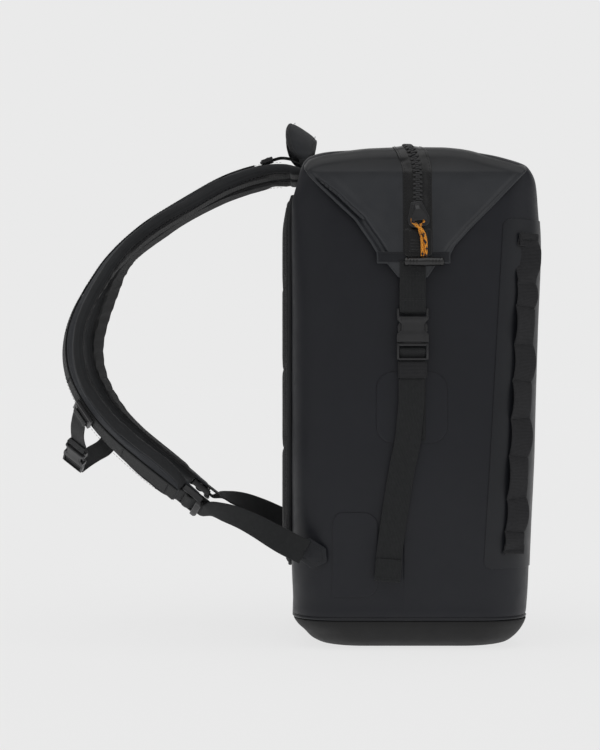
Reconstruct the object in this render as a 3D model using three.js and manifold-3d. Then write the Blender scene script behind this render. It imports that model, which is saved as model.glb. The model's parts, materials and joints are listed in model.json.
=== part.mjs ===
// Waterproof zip-top tackle backpack.
// Millimetres, +Z up.  Origin: centre of the base's flat bottom face, on the ground.
// -X is the wearer's side (straps), +X is the front, -Y and +Y are the two sides.
import * as THREE from 'three';
import { mergeVertices } from 'three/addons/utils/BufferGeometryUtils.js';
import Module from 'manifold-3d';
const wasm = await Module();
wasm.setup();

// ---------------------------------------------------------------- dimensions
const WALL = 2.5;            // shell wall
const GAP = 0.3;             // gap kept between touching pieces
const WEB_T = 1.6;           // webbing thickness
const WEB_W = 25.4;          // webbing width
const CORNER_SEGS = 6;       // facets in each plan corner
const SIDE_SEAM_X = -8;      // seam between front and back shell
const ZIP_X0 = -18, ZIP_X1 = 10, ZIP_XC = -4;   // zip tape edges and chain line on the roof
const ZIP_TAPE_OUT = 0.5, ZIP_TAPE_IN = 1.7;
const WING_T = 4;            // folded double fabric of a wing
const WING_BOTTOM_Z = 381;
const BUCKLE_Y = 162.4;      // side buckle centre plane, distance from the middle
const BUCKLE_Z = 285.6;      // lower end of the side buckle
const BUCKLE_X = -0.2;
const STERNUM_SCALE = 0.8;   // 20 mm buckle against the 25 mm one
const PAD_HW = 33.5, PAD_HT = 7;                // shoulder pad half width and half thickness
const FAR_TWIST = 0;                            // share of the near strap's twist that the far strap has
const TOGGLE_R = 4.5, TOGGLE_L = 39;
const CORD_R = 1.6;

// outside of the bag: [z, back x, front x, half width, plan corner radius]
const OUTER = [
  [7, -92, 99, 122, 40], [15, -98.5, 104.5, 132, 42], [28.4, -111, 111.6, 141, 45],
  [28.8, -116, 115.4, 145.5, 47], [50, -117, 118, 147.5, 48], [100, -118.5, 119.5, 151, 48],
  [200, -118.5, 123.5, 155, 48], [300, -118.5, 127, 155, 48], [400, -118.5, 130, 154.5, 46],
  [440, -117.8, 127.3, 153, 38], [461, -113, 124, 151.5, 26], [477, -108.5, 119, 150, 11],
  [486, -102.5, 101, 147.5, 11], [491.5, -88, 73, 141.5, 12], [495.5, -60, 50, 131, 14],
];
const ROOF_TOP = 497;
const INNER = [
  [2, -89.5, 96.5, 119.5, 38], [15, -96, 102, 129.5, 40], [28.4, -108.5, 109.1, 138.5, 43],
  [32, -113.5, 112.9, 143.1, 45], [50, -114.5, 115.5, 145, 46], [100, -116, 117, 148.5, 46],
  [200, -116, 121, 152.5, 46], [300, -116, 124.5, 152.5, 46], [400, -116, 127.5, 152, 44],
  [440, -115.3, 124.8, 150.5, 36], [460, -110.6, 121.6, 149, 24], [475, -106, 116.5, 147.5, 9],
  [483.5, -100.4, 99, 145, 9], [489, -86.6, 71.6, 139.4, 10], [493, -59, 49, 129.4, 12],
];
const INNER_TOP = 494.4;
const CUP_OUT = [
  [0, -80, 85, 108, 36], [2, -90, 98, 118, 42], [7, -98.5, 105, 128, 46],
  [15, -104.5, 110.5, 136, 47], [24, -114, 115.2, 144.5, 47], [28.05, -116, 116.2, 146, 47],
];
const CUP_IN = [
  [6.7, -92.3, 99.3, 122.3, 40.2], [15, -98.85, 104.85, 132.35, 42.2],
  [28.4, -111.35, 111.95, 141.35, 45.2], [31, -111.35, 111.95, 141.35, 45.2],
];

// ---------------------------------------------------------------- helpers
const V = (x, y, z) => new THREE.Vector3(x, y, z);

function outward(geo) {
  const p = geo.attributes.position, ix = geo.index;
  let vol = 0;
  const a = V(), b = V(), c = V();
  for (let i = 0; i < ix.count; i += 3) {
    a.fromBufferAttribute(p, ix.getX(i)); b.fromBufferAttribute(p, ix.getX(i + 1)); c.fromBufferAttribute(p, ix.getX(i + 2));
    vol += a.dot(b.cross(c));
  }
  if (vol < 0) for (let i = 0; i < ix.count; i += 3) { const t = ix.getX(i); ix.setX(i, ix.getX(i + 1)); ix.setX(i + 1, t); }
  return geo;
}
function weld(geo) {
  geo.deleteAttribute('normal'); geo.deleteAttribute('uv');
  return mergeVertices(geo, 1e-4);
}
function mapped(geo, fn) {
  const g = weld(geo), p = g.attributes.position;
  for (let i = 0; i < p.count; i++) { const q = fn(p.getX(i), p.getY(i), p.getZ(i)); p.setXYZ(i, q[0], q[1], q[2]); }
  return outward(mergeVertices(g, 1e-4));
}
const mirror = (geo) => mapped(geo.clone(), (x, y, z) => [x, -y, z]);
function toMan(geo) {
  return new wasm.Manifold(new wasm.Mesh({ numProp: 3,
    vertProperties: Float32Array.from(geo.attributes.position.array),
    triVerts: Uint32Array.from(geo.index.array) }));
}
function toGeo(man) {
  const m = man.getMesh(), g = new THREE.BufferGeometry();
  g.setAttribute('position', new THREE.BufferAttribute(Float32Array.from(m.vertProperties), 3));
  g.setIndex(new THREE.BufferAttribute(Uint32Array.from(m.triVerts), 1));
  return outward(g);
}
const cut = (a, ...rest) => toGeo(rest.reduce((m, g) => m.subtract(toMan(g)), toMan(a)));
const join = (a, ...rest) => toGeo(rest.reduce((m, g) => m.add(toMan(g)), toMan(a)));
const common = (a, b) => toGeo(toMan(a).intersect(toMan(b)));
function box(x0, x1, y0, y1, z0, z1) {
  return mapped(new THREE.BoxGeometry(1, 1, 1), (x, y, z) => [
    x0 + (x + 0.5) * (x1 - x0), y0 + (y + 0.5) * (y1 - y0), z0 + (z + 0.5) * (z1 - z0)]);
}

// rounded rectangle in plan, 44 points, the same count at every level
function contour([, xb, xf, yw, r]) {
  const out = [], n = CORNER_SEGS;
  const arc = (cx, cy, a0) => { for (let k = 0; k <= n; k++) { const a = a0 + k / n * Math.PI / 2; out.push([cx + r * Math.cos(a), cy + r * Math.sin(a)]); } };
  const line = (x0, y0, x1, y1, m) => { for (let k = 1; k <= m; k++) out.push([x0 + (x1 - x0) * k / (m + 1), y0 + (y1 - y0) * k / (m + 1)]); };
  arc(xf - r, yw - r, 0); line(xf - r, yw, xb + r, yw, 5);
  arc(xb + r, yw - r, Math.PI / 2); line(xb, yw - r, xb, -yw + r, 3);
  arc(xb + r, -yw + r, Math.PI); line(xb + r, -yw, xf - r, -yw, 5);
  arc(xf - r, -yw + r, 1.5 * Math.PI); line(xf, -yw + r, xf, yw - r, 3);
  return out;
}
// closed solid through a stack of rounded rectangles
function loft(levels, topZ = null, bottomZ = null) {
  const rings = levels.map(contour), N = rings[0].length, L = levels.length;
  const geo = new THREE.CylinderGeometry(1, 1, 1, N, L - 1, false);
  return mapped(geo, (x, y, z) => {
    const j = Math.round((y + 0.5) * (L - 1)), lv = levels[j];
    if (Math.hypot(x, z) < 0.5) return [(lv[1] + lv[2]) / 2, 0, j ? (topZ ?? lv[0]) : (bottomZ ?? lv[0])];
    const i = ((Math.round(Math.atan2(x, z) / (2 * Math.PI) * N) % N) + N) % N;
    return [rings[j][i][0], rings[j][i][1], lv[0]];
  });
}
// closed bar swept through frames {p, w, n, a, b}: section points are scaled by half width a and half thickness b
const SQUARE = [[1, 1], [-1, 1], [-1, -1], [1, -1]];
const SOFT = [[1, 0.35], [0.86, 1], [0, 1.06], [-0.86, 1], [-1, 0.35], [-1, -0.35], [-0.86, -1], [0, -1.06], [0.86, -1], [1, -0.35]];
const ROUND = Array.from({ length: 8 }, (_, k) => [Math.cos(k * Math.PI / 4), Math.sin(k * Math.PI / 4)]);
function sweep(frames, sec = SQUARE) {
  const K = sec.length, L = frames.length;
  const geo = new THREE.CylinderGeometry(1, 1, 1, K, L - 1, false);
  return mapped(geo, (x, y, z) => {
    const f = frames[Math.round((y + 0.5) * (L - 1))];
    let u = 0, v = 0;
    if (Math.hypot(x, z) > 0.5) { const i = ((Math.round(Math.atan2(x, z) / (2 * Math.PI) * K) % K) + K) % K; [u, v] = sec[i]; }
    const q = f.p.clone().addScaledVector(f.w, u * f.a).addScaledVector(f.n, v * f.b);
    return [q.x, q.y, q.z];
  });
}
// frames along a polyline with given width directions; thickness is held through bends
function ribbon(pts, widths, a = WEB_W / 2, b = WEB_T / 2) {
  const P = pts.map((p) => V(...p)), n = P.length;
  const A = Array.isArray(a) ? a : P.map(() => a), B = Array.isArray(b) ? b : P.map(() => b);
  return P.map((p, i) => {
    const t0 = (i ? p.clone().sub(P[i - 1]) : P[1].clone().sub(p)).normalize();
    const t1 = (i < n - 1 ? P[i + 1].clone().sub(p) : t0.clone()).normalize();
    const t = t0.clone().add(t1).normalize();
    const w0 = V(...(Array.isArray(widths[0]) ? widths[i] : widths));
    const w = w0.clone().addScaledVector(t, -w0.dot(t)).normalize();
    const nn = w.clone().cross(t).normalize().divideScalar(Math.max(0.5, t.dot(t1)));
    return { p, w, n: nn, a: A[i], b: B[i], t };
  });
}
// extra frames between the given ones, so that a twisting ribbon keeps its thickness
function refine(frames, m) {
  const out = [];
  for (let i = 0; i < frames.length - 1; i++) for (let k = 0; k < m; k++) {
    const A = frames[i], B = frames[i + 1], u = k / m;
    out.push({ p: A.p.clone().lerp(B.p, u), w: A.w.clone().lerp(B.w, u).normalize(), n: A.n.clone().lerp(B.n, u).normalize(), a: A.a + (B.a - A.a) * u, b: A.b + (B.b - A.b) * u });
  }
  return [...out, frames[frames.length - 1]];
}
// flat plate: outline in XZ, thickness along Y
function plate(pts, y0, y1, holes = []) {
  const sh = new THREE.Shape(pts.map((q) => new THREE.Vector2(q[0], q[1])));
  for (const h of holes) sh.holes.push(new THREE.Path(h.map((q) => new THREE.Vector2(q[0], q[1]))));
  return mapped(new THREE.ExtrudeGeometry(sh, { depth: 1, bevelEnabled: false, steps: 1 }), (x, y, z) => [x, y0 + z * (y1 - y0), y]);
}
function roundRect(x0, x1, z0, z1, r, n = 4) {
  const out = [];
  for (const [cx, cz, a0] of [[x1 - r, z1 - r, 0], [x0 + r, z1 - r, 1], [x0 + r, z0 + r, 2], [x1 - r, z0 + r, 3]])
    for (let k = 0; k <= n; k++) { const a = (a0 + k / n) * Math.PI / 2; out.push([cx + r * Math.cos(a), cz + r * Math.sin(a)]); }
  return out;
}
const level = (z) => { // outside dimensions at a height
  let i = 0; while (i < OUTER.length - 2 && OUTER[i + 1][0] < z) i++;
  const a = OUTER[i], b = OUTER[i + 1], t = (z - a[0]) / (b[0] - a[0]);
  return a.map((v, k) => v + (b[k] - v) * t);
};

// ---------------------------------------------------------------- assembly
const group = new THREE.Group();
const COLOURS = {
  fabric: [0x2a2b2f, 0.55], eva: [0x28282a, 0.7], mesh: [0x1e1e1f, 0.95], pad: [0x383a3d, 0.8], webbing: [0x272829, 0.9],
  acetal: [0x29292b, 0.45], tape: [0x232324, 0.3], cord: [0x956c3b, 0.8], patch: [0x2e3033, 0.5],
};
function add(name, geo, kind) {
  const [color, roughness] = COLOURS[kind];
  const mesh = new THREE.Mesh(geo, new THREE.MeshStandardMaterial({ color, roughness, metalness: 0 }));
  mesh.name = name; group.add(mesh);
}
function addPair(stem, geo, kind, farGeo = geo) { add('near_' + stem, geo, kind); add('far_' + stem, mirror(farGeo), kind); }

// ---- zip line: section of the closure from the near wing's lower end, over the roof, to the far wing's
const zipSkew = (z) => Math.min(9, Math.max(0, (493 - z) * 0.13));
const wingY = (z) => 164 - (z - 383) * (10.5 / 87);
const HALF = [[164, 383], [wingY(424), 424], [153.5, 470], [150.3, 479], [145.5, 487.5], [138, 493], [128, 495.9]];
function zipProfile(nearEnd, farEnd) {
  const near = HALF.filter((q) => q[1] > nearEnd + 1).map((q) => [-q[0], q[1]]);
  const far = HALF.filter((q) => q[1] > farEnd + 1).map((q) => [q[0], q[1]]).reverse();
  return [[-wingY(nearEnd), nearEnd], ...near, [0, 497.5], ...far, [wingY(farEnd), farEnd]];
}
function offsetLine(pts, d) {
  return pts.map((p, i) => {
    const t = (a, b) => { const l = Math.hypot(b[0] - a[0], b[1] - a[1]); return [(b[0] - a[0]) / l, (b[1] - a[1]) / l]; };
    const t0 = i ? t(pts[i - 1], p) : t(p, pts[1]), t1 = i < pts.length - 1 ? t(p, pts[i + 1]) : t0;
    const m = [t0[0] + t1[0], t0[1] + t1[1]], l = Math.hypot(...m), k = l / 2;
    return [p[0] - m[1] / l * d / k, p[1] + m[0] / l * d / k];
  });
}
function band(profile, dOut, dIn, x0, x1) {
  const o = offsetLine(profile, dOut), i = offsetLine(profile, -dIn), L = profile.length;
  return mapped(new THREE.CylinderGeometry(1, 1, 1, 4, L - 1, false), (x, y, z) => {
    const j = Math.round((y + 0.5) * (L - 1)), sk = zipSkew(profile[j][1]);
    if (Math.hypot(x, z) < 0.5) return [(x0 + x1) / 2 + sk, (o[j][0] + i[j][0]) / 2, (o[j][1] + i[j][1]) / 2];
    const k = ((Math.round(Math.atan2(x, z) / (2 * Math.PI) * 4) % 4) + 4) % 4, q = k < 2 ? o[j] : i[j];
    return [(k === 0 || k === 3 ? x0 : x1) + sk, q[0], q[1]];
  });
}

// ---- bag shells: tube and roof, with the folded-down wings, parted by the side seams and the zip
const WING = [[-106, 474], [-103, 481], [109, 481], [113, 473], [80, 439], [58, 417], [40, 397], [36, 389], [36, WING_BOTTOM_Z],
  [-34, WING_BOTTOM_Z], [-34, 391], [-40, 401], [-56, 424], [-73, 440], [-90, 457]];
const wing = mapped(plate(WING, 0, 1), (x, y, z) => {
  const yo = z > 470 ? 153.5 - (z - 470) * 0.36 : wingY(z);
  return [x, -yo + y * WING_T, z];
});
let bag = join(cut(loft(OUTER, ROOF_TOP), loft(INNER, INNER_TOP)), wing, mirror(wing));
bag = cut(bag, band(zipProfile(374, 374), 3, 5.2, ZIP_X0 - GAP, ZIP_X1 + GAP));
add('front_shell', common(bag, box(SIDE_SEAM_X + GAP / 2, 300, -300, 300, -10, 700)), 'fabric');
add('back_shell', common(bag, box(-300, SIDE_SEAM_X - GAP / 2, -300, 300, -10, 700)), 'fabric');

add('base_cup', cut(loft(CUP_OUT), loft(CUP_IN)), 'eva');

// ---- back panel pad: padded panel the wearer leans on
const padOutline = (yh, z0, z1, r) => roundRect(-yh, yh, z0, z1, r, 4);
const PAD_FRONT = padOutline(106, 86, 442, 26), PAD_REAR = padOutline(111, 79, 456, 30);
add('back_pad', mapped(plate(PAD_REAR, 0, 1), (x, y, z) => {
  if (y < 0.5) return [-118.8, x, z];
  const i = PAD_REAR.findIndex((q) => Math.hypot(q[0] - x, q[1] - z) < 1e-2);
  return [-127.3, PAD_FRONT[i][0], PAD_FRONT[i][1]];
}), 'mesh');

// ---- zip: two tapes, two rows of teeth, garage, slider, pull
const tapeLine = zipProfile(383, 383);
add('zipper_tape_back', band(tapeLine, ZIP_TAPE_OUT, ZIP_TAPE_IN, ZIP_X0, ZIP_XC - GAP / 2), 'tape');
add('zipper_tape_front', band(tapeLine, ZIP_TAPE_OUT, ZIP_TAPE_IN, ZIP_XC + GAP / 2, ZIP_X1), 'tape');
const railLine = zipProfile(414.8, 388);
add('zipper_teeth_back', band(railLine, 2.8, -(ZIP_TAPE_OUT + GAP), ZIP_XC - 5.8, ZIP_XC - GAP / 2), 'acetal');
add('zipper_teeth_front', band(railLine, 2.8, -(ZIP_TAPE_OUT + GAP), ZIP_XC + GAP / 2, ZIP_XC + 5.8), 'acetal');

// local axes on the near wing: a to the right, b outward, c up along the chain
const U = V(-0.13, 10.5 / 87, 1).normalize(), NW = V(0, -1, 10.5 / 87).normalize();
const RW = V(1, 0, 0).addScaledVector(U, -U.x).normalize();
const wingPoint = (x, z) => V(x, -wingY(z), z);
const onWing = (O) => (a, b, c) => { const q = O.clone().addScaledVector(RW, a).addScaledVector(NW, b).addScaledVector(U, c); return [q.x, q.y, q.z]; };
const garage = plate(roundRect(-13.5, 13.5, 385.6, 413.6, 3, 2), 0, 1);
add('zipper_garage', mapped(garage, (x, y, z) => {
  const q = wingPoint(x + 5, z).addScaledVector(NW, 0.8 + y * 2.2); return [q.x, q.y, q.z];
}), 'tape');

const SLIDER_O = wingPoint(5, 427);
const sliderBody = plate([[-5.5, 12], [5.5, 12], [8, 5], [10.5, -4], [9.5, -9.5], [6, -12], [-6, -12], [-9.5, -9.5], [-10.5, -4], [-8, 5]], 3.1, 6.4);
const bridge = cut(box(-2.5, 2.5, 6.0, 11.4, -7.2, 9), box(-4, 4, 6.7, 11, -6.6, 0.9));
const bridgeTop = box(-2.5, 2.5, 10.9, 11.7, -7.2, 4);
add('zipper_slider', mapped(join(sliderBody, bridge, bridgeTop), onWing(SLIDER_O)), 'acetal');

// cord: one loop, up from the toggle, through the slider's bridge and back down
const CORD = [[8.8, -171.6, 386.4], [8.8, -171.4, 394], [8.5, -170.9, 402], [7.2, -170.0, 409], [5.9, -168.9, 414.6], [8.2, -168.4, 418.0],
  [10.9, -168.0, 420.4], [10.2, -167.6, 423.3], [7.4, -167.6, 424.2], [5, -167.6, 424.3], [2.6, -167.6, 424.2], [-0.3, -167.8, 423.4],
  [-0.6, -168.6, 420.6], [2.2, -171.1, 417.0], [6.2, -172.6, 413.8], [9.6, -173.0, 409.4], [11.8, -172.8, 402], [12.2, -171.9, 394], [12.2, -171.6, 386.4]];
{
  const curve = new THREE.CatmullRomCurve3(CORD.map((q) => V(...q)), false, 'centripetal');
  const sec = new THREE.Shape(ROUND.map(([u, v]) => new THREE.Vector2(u * CORD_R, v * CORD_R)));
  add('zip_pull_cord', mapped(new THREE.ExtrudeGeometry(sec, { steps: 36, bevelEnabled: false, extrudePath: curve }), (x, y, z) => [x, y, z]), 'cord');
}
const TOGGLE = [10.4, -172.3, 381];
add('zip_toggle', mapped(new THREE.CylinderGeometry(TOGGLE_R, TOGGLE_R, TOGGLE_L, 12, 1, false),
  (x, y, z) => [TOGGLE[0] + y, TOGGLE[1] + x, TOGGLE[2] + z]), 'acetal');

// ---- side-release buckle, in its own axes: x across, z towards the socket's loop, -y outward
const SOCKET_HALF = [[15.5, 17.2], [15.5, 24.5], [14.5, 26], [11, 28.5], [11, 35.5], [14.5, 39], [15.2, 42.2]];
const socketOutline = [...SOCKET_HALF, ...SOCKET_HALF.map(([x, z]) => [-x, z]).reverse()];
const socketGeo = join(plate(socketOutline, -4.5, -2.5), plate(socketOutline, 2.5, 4.5),
  box(-13, 13, -2.6, 2.6, 38.6, 42.2), box(-15.2, -13.2, -2.8, 2.8, 39.5, 50.4), box(13.2, 15.2, -2.8, 2.8, 39.5, 50.4),
  box(-15.2, 15.2, -1.6, 1.6, 47.9, 50.4));
const plugFrame = cut(box(-15.5, 15.5, -3.2, 3.2, 0, 16.5), box(-13, 13, -5, 5, 1.8, 13.6), box(-20, 20, 0, 5, -1, 2.4));
const plugGeo = join(plugFrame, box(-13.6, 13.6, -1.5, 1.5, 6.8, 9.6), box(-2, 2, -1.5, 1.5, 16, 34));
const armGeo = plate([[9, 17], [12, 17], [12.7, 25], [14.2, 28.6], [14.2, 34], [12.6, 37], [11, 37], [10.6, 30], [9.6, 23]], -2, 2);
const armMirror = mapped(armGeo.clone(), (x, y, z) => [-x, y, z]);
function placeBuckle(prefix, fn) {
  for (const [stem, g] of [['buckle_socket', socketGeo], ['buckle_plug', plugGeo], ['buckle_arm_front', armGeo], ['buckle_arm_back', armMirror]])
    add(prefix + stem, mapped(g.clone(), fn), 'acetal');
}
placeBuckle('near_', (x, y, z) => [BUCKLE_X + x, -BUCKLE_Y + y, BUCKLE_Z + z]);
placeBuckle('far_', (x, y, z) => [BUCKLE_X + x, BUCKLE_Y - y, BUCKLE_Z + z]);

// ---- wing strap, per side
addPair('wing_tab', plate([[-26, 380.6], [24, 380.6], [13.5, 366], [-13.5, 366]], -164, -162), 'fabric');
const xw = [1, 0, 0];
const yz = (list, x = BUCKLE_X) => list.map(([y, z, dx]) => [x + (dx || 0), -y, z]);
addPair('upper_webbing', sweep(ribbon(yz([[165.2, 379.8], [165.2, 334.4], [164.2, 331.8], [160.6, 331.8], [159.6, 334.4], [159.6, 362]]), xw)), 'webbing');
addPair('anchor_webbing', sweep(ribbon(yz([[160.9, 267.8], [160.9, 287.4], [165.1, 291.9], [165.1, 295.6], [163.9, 296.9], [160.9, 296.9], [159.7, 295.4], [158.8, 290], [158.8, 209]]), xw)), 'webbing');
addPair('webbing_keeper', cut(box(-14.3, 13.9, -163.2, -156.5, 268.1, 284.4), box(-13.2, 12.8, -162.1, -157.6, 260, 290)), 'webbing');
addPair('tail_webbing', sweep(ribbon(yz([[160.9, 265.8, -0.9], [161, 246, -0.9], [160.9, 205, -5], [159.2, 180, -10], [157.7, 149, -15.1], [156.6, 110, -20.7], [156.2, 89.4, -22.8], [156.2, 88.8, -22.9], [155.6, 69, -24.6]]),
  xw, WEB_W / 2, [0.8, 0.8, 0.8, 0.8, 0.8, 0.8, 0.8, 1.6, 1.6])), 'webbing');
addPair('side_patch', plate(roundRect(-34.8, 33.6, 204.6, 273.9, 16, 4), -156.1, -155.3), 'patch');

// ---- daisy chains and the big welded patches on the front corners
const ARC = CORNER_SEGS;
function cornerPoint(z, angle, off) { // angle 0 faces the side, 90 degrees faces the front
  const [, , xf, yw, r] = level(z);
  return V(xf - r + (r + off) * Math.sin(angle), -(yw - r + (r + off) * Math.cos(angle)), z);
}
{
  const zs = [83, 100, 150, 200, 300, 400, 420], cols = [];
  cols.push((z) => [72 + (z - 110) * 0.055, null]);
  const nU = 1 + (ARC + 1) + 1;
  const pt = (z, j, off) => {
    const [, , xf, yw, r] = level(z);
    if (j === 0) return [Math.min(xf - r - 2, 70 + (z - 83) * 0.05), -(yw + off)];
    if (j <= ARC + 1) { const a = (j - 1) / ARC * Math.PI / 2; return [xf - r + (r + off) * Math.sin(a), -(yw - r + (r + off) * Math.cos(a))]; }
    return [xf + off, -70];
  };
  const g = new THREE.BoxGeometry(1, 1, 1, nU - 1, 1, zs.length - 1);
  addPair('corner_patch', mapped(g, (x, y, z) => {
    const j = Math.round((x + 0.5) * (nU - 1)), k = Math.round((z + 0.5) * (zs.length - 1));
    const q = pt(zs[k], j, y > 0 ? 1.1 : 0.35);
    return [q[0], q[1], zs[k]];
  }), 'patch');
  const tacks = [407, 360, 338, 301, 265, 228, 191, 150, 117, 98], P = [], W = [];
  for (let i = 0; i < tacks.length; i++) {
    const here = tacks[i], next = tacks[i + 1];
    const steps = next === undefined ? [[here, 2.4]] : [[here, 2.4], [here + (next - here) * 0.25, i ? 4.6 : 6.5], [here + (next - here) * 0.75, i ? 4.6 : 6.5]];
    for (const [z, off] of steps) {
      const ang = (34.5 + (z - 98) / 309 * 5.5) * Math.PI / 180;
      const q = cornerPoint(z, ang, off); P.push([q.x, q.y, q.z]); W.push([Math.cos(ang), Math.sin(ang), 0]);
    }
  }
  addPair('daisy_chain', sweep(ribbon(P, W, 12.5, 0.8)), 'webbing');
}

// ---- shoulder straps
const PAD_LINE = [[-112.4, -46, 479.2], [-124.4, -46, 480.7], [-138.9, -46, 480.7], [-155.3, -47, 477.5], [-173.8, -48, 472.3], [-192.3, -49, 465.5],
  [-214.9, -50, 454.6], [-235.4, -51, 442.7], [-253.8, -53, 429.2], [-274.1, -56, 412.1], [-290.2, -60, 396.9], [-304, -66, 380.8], [-314.6, -73, 364.6],
  [-324, -80, 348.1], [-331.9, -87, 330.6], [-336.8, -93, 313.3], [-338.3, -98, 294.1], [-334.9, -102, 273], [-324.5, -105, 249.9], [-309.7, -108, 228],
  [-291.9, -111, 209], [-273.7, -114, 193.1], [-255.5, -117, 178.3], [-239.4, -119, 165.5], [-228.4, -120, 156.6]];
const TWIST = [[500, 0], [400, 2], [315, 10], [246, 20], [204, 25], [156, 30]];
function twistAt(z) {
  for (let i = 0; i < TWIST.length - 1; i++) { const [z0, a0] = TWIST[i], [z1, a1] = TWIST[i + 1]; if (z <= z0 && z >= z1) return (a0 + (a1 - a0) * (z0 - z) / (z0 - z1)) * Math.PI / 180; }
  return z > 500 ? 0 : 30 * Math.PI / 180;
}
const LOOP_CENTRE = V(-170, 0, 300);
function strapFrame(p, t, phi) {
  const wb = V(0, 1, 0).addScaledVector(t, -t.y).normalize();
  const n0 = wb.clone().cross(t).normalize();
  if (n0.dot(p.clone().sub(LOOP_CENTRE).setY(0)) < 0) n0.negate();
  return { n: n0.clone().multiplyScalar(Math.cos(phi)).addScaledVector(wb, -Math.sin(phi)), w: wb.clone().multiplyScalar(Math.cos(phi)).addScaledVector(n0, Math.sin(phi)) };
}
const padCurve = new THREE.CatmullRomCurve3(PAD_LINE.map((q) => V(...q)), false, 'centripetal');
padCurve.arcLengthDivisions = 800;
const PAD_LEN = padCurve.getLength();
function padFrame(s, a, b, lift = 0, share = 1) { // s in mm from the top end, share of the twist
  const u = Math.min(1, Math.max(0, s / PAD_LEN));
  const p = padCurve.getPointAt(u), t = padCurve.getTangentAt(u).normalize();
  const f = strapFrame(p, t, share * twistAt(p.z));
  return { p: p.clone().addScaledVector(f.n, lift), w: f.w, n: f.n, a, b, t };
}
const padHalfWidth = (s) => { const e = PAD_LEN - s; return e < 45 ? 14 + (PAD_HW - 14) * Math.sqrt(1 - (1 - e / 45) ** 2) : s < 40 ? 30 + 3.5 * s / 40 : PAD_HW; };
{
  const stops = []; for (let i = 0; i <= 30; i++) stops.push(i / 30 * (PAD_LEN - 45)); stops.push(PAD_LEN - 34, PAD_LEN - 22, PAD_LEN - 11, PAD_LEN - 3, PAD_LEN);
  const pad = (share) => sweep(stops.map((s) => padFrame(s, padHalfWidth(s), s < 12 ? 4 + 3 * s / 12 : PAD_HT, 0, share)), SOFT);
  addPair('shoulder_pad', pad(1), 'pad', pad(FAR_TWIST));
  const f0 = 44, f1 = PAD_LEN - 2;
  const face = (share) => { const out = []; for (let i = 0; i <= 26; i++) out.push(padFrame(f0 + (f1 - f0) * i / 26, 12.7, 0.8, PAD_HT + 2 - 0.2 * share, share)); return sweep(out); };
  addPair('face_webbing', face(1), 'webbing', face(FAR_TWIST));
}
// ladder lock at the lower end of each pad, and the adjusting webbing down to the lower corner
const padEnd = padFrame(PAD_LEN, 0, 0), farPadEnd = padFrame(PAD_LEN, 0, 0, 0, FAR_TWIST);
function onFrame(f, along, up) { return (x, y, z) => { const q = f.p.clone().addScaledVector(f.w, x).addScaledVector(f.n, y + up).addScaledVector(f.t, z + along); return [q.x, q.y, q.z]; }; }
const lockGeo = join(cut(box(-15, 15, -3, 3, 0, 23), box(-12.8, 12.8, -5, 5, 3, 8.5), box(-12.8, 12.8, -5, 5, 11.5, 19)), box(-15, 15, 2.5, 6, 19.5, 25));
addPair('ladder_lock', mapped(lockGeo.clone(), onFrame(padEnd, 1.2, 1.5)), 'acetal', mapped(lockGeo.clone(), onFrame(farPadEnd, 1.2, 1.5)));
function adjustWebbing(end, share) {
  const start = V(...onFrame(end, 1.2, 1.5)(0, 1.2, 28)), first = 30 * share;
  const pts = [[start.x, start.y, start.z], [-196.4, -123.9, 137.6], [-185.4, -126, 134.6], [-169.4, -131, 129.4], [-151.5, -137.6, 121], [-137.6, -143, 113.4], [-125.7, -148.4, 107.2], [-119, -153.6, 104.2], [-108, -154.4, 98.6]];
  const frames = pts.map((q, i) => {
    const p = V(...q), a = V(...pts[Math.max(0, i - 1)]), b = V(...pts[Math.min(pts.length - 1, i + 1)]);
    const t = b.sub(a).normalize(), phi = (first + (85 - first) * Math.min(1, i / 6)) * Math.PI / 180;
    const f = i ? strapFrame(p, t, phi) : end; return { p, w: f.w, n: f.n, a: WEB_W / 2, b: WEB_T / 2, t };
  });
  return sweep(refine(frames, 3));
}
addPair('adjust_webbing', adjustWebbing(padEnd, 1), 'webbing', adjustWebbing(farPadEnd, FAR_TWIST));
addPair('anchor_tab', plate([[-116, 95], [-101, 111], [-84, 101], [-84, 88], [-99, 82]], -152.6, -151.2), 'fabric');

// load lifter: small ladder lock standing on the strap, and a thin webbing to the bag's top edge
addPair('load_lifter_lock', mapped(cut(box(-13, 13, -2.2, 2.2, -6, 6), box(-10.4, 10.4, -5, 5, -3.4, -0.9), box(-10.4, 10.4, -5, 5, 0.9, 3.4)),
  (x, y, z) => [-144 + z * 0.94 - y * 0.34, -38.5 + x, 491.6 + y * 0.94 + z * 0.34]), 'acetal');
addPair('load_lifter_webbing', sweep(ribbon([[-137.6, -46, 494.2], [-129.6, -46, 495.4], [-119, -46, 493.8], [-110, -46, 490.2], [-103, -46, 489.3], [-96, -46, 491.4]].map(([x, , z]) => [x, -37, z]), [0, 1, 0], 10, 0.7)), 'webbing');

// ---- grab handle: padded leaf-shaped arch between the straps
{
  const half = [[-104.5, -54, 490.6, 4, 1.5, [1, 0, 0]], [-105.2, -53, 495, 6.5, 2, [1, 0, -0.1]], [-107, -48, 500.5, 12, 3, [0.95, 0, -0.25]], [-109, -37, 508.5, 16, 4, [0.92, 0, -0.4]], [-108.5, -20, 518, 17.5, 4, [0.87, 0, -0.5]], [-107, 0, 522.5, 17.5, 4, [0.83, 0, -0.56]]];
  const all = [...half, ...half.slice(0, 5).reverse().map(([x, y, z, a, b, w]) => [x, -y, z, a, b, w])];
  add('handle', sweep(ribbon(all.map((q) => q.slice(0, 3)), all.map((q) => q[5]), all.map((q) => q[3]), all.map((q) => q[4])), SOFT), 'pad');
}

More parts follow.
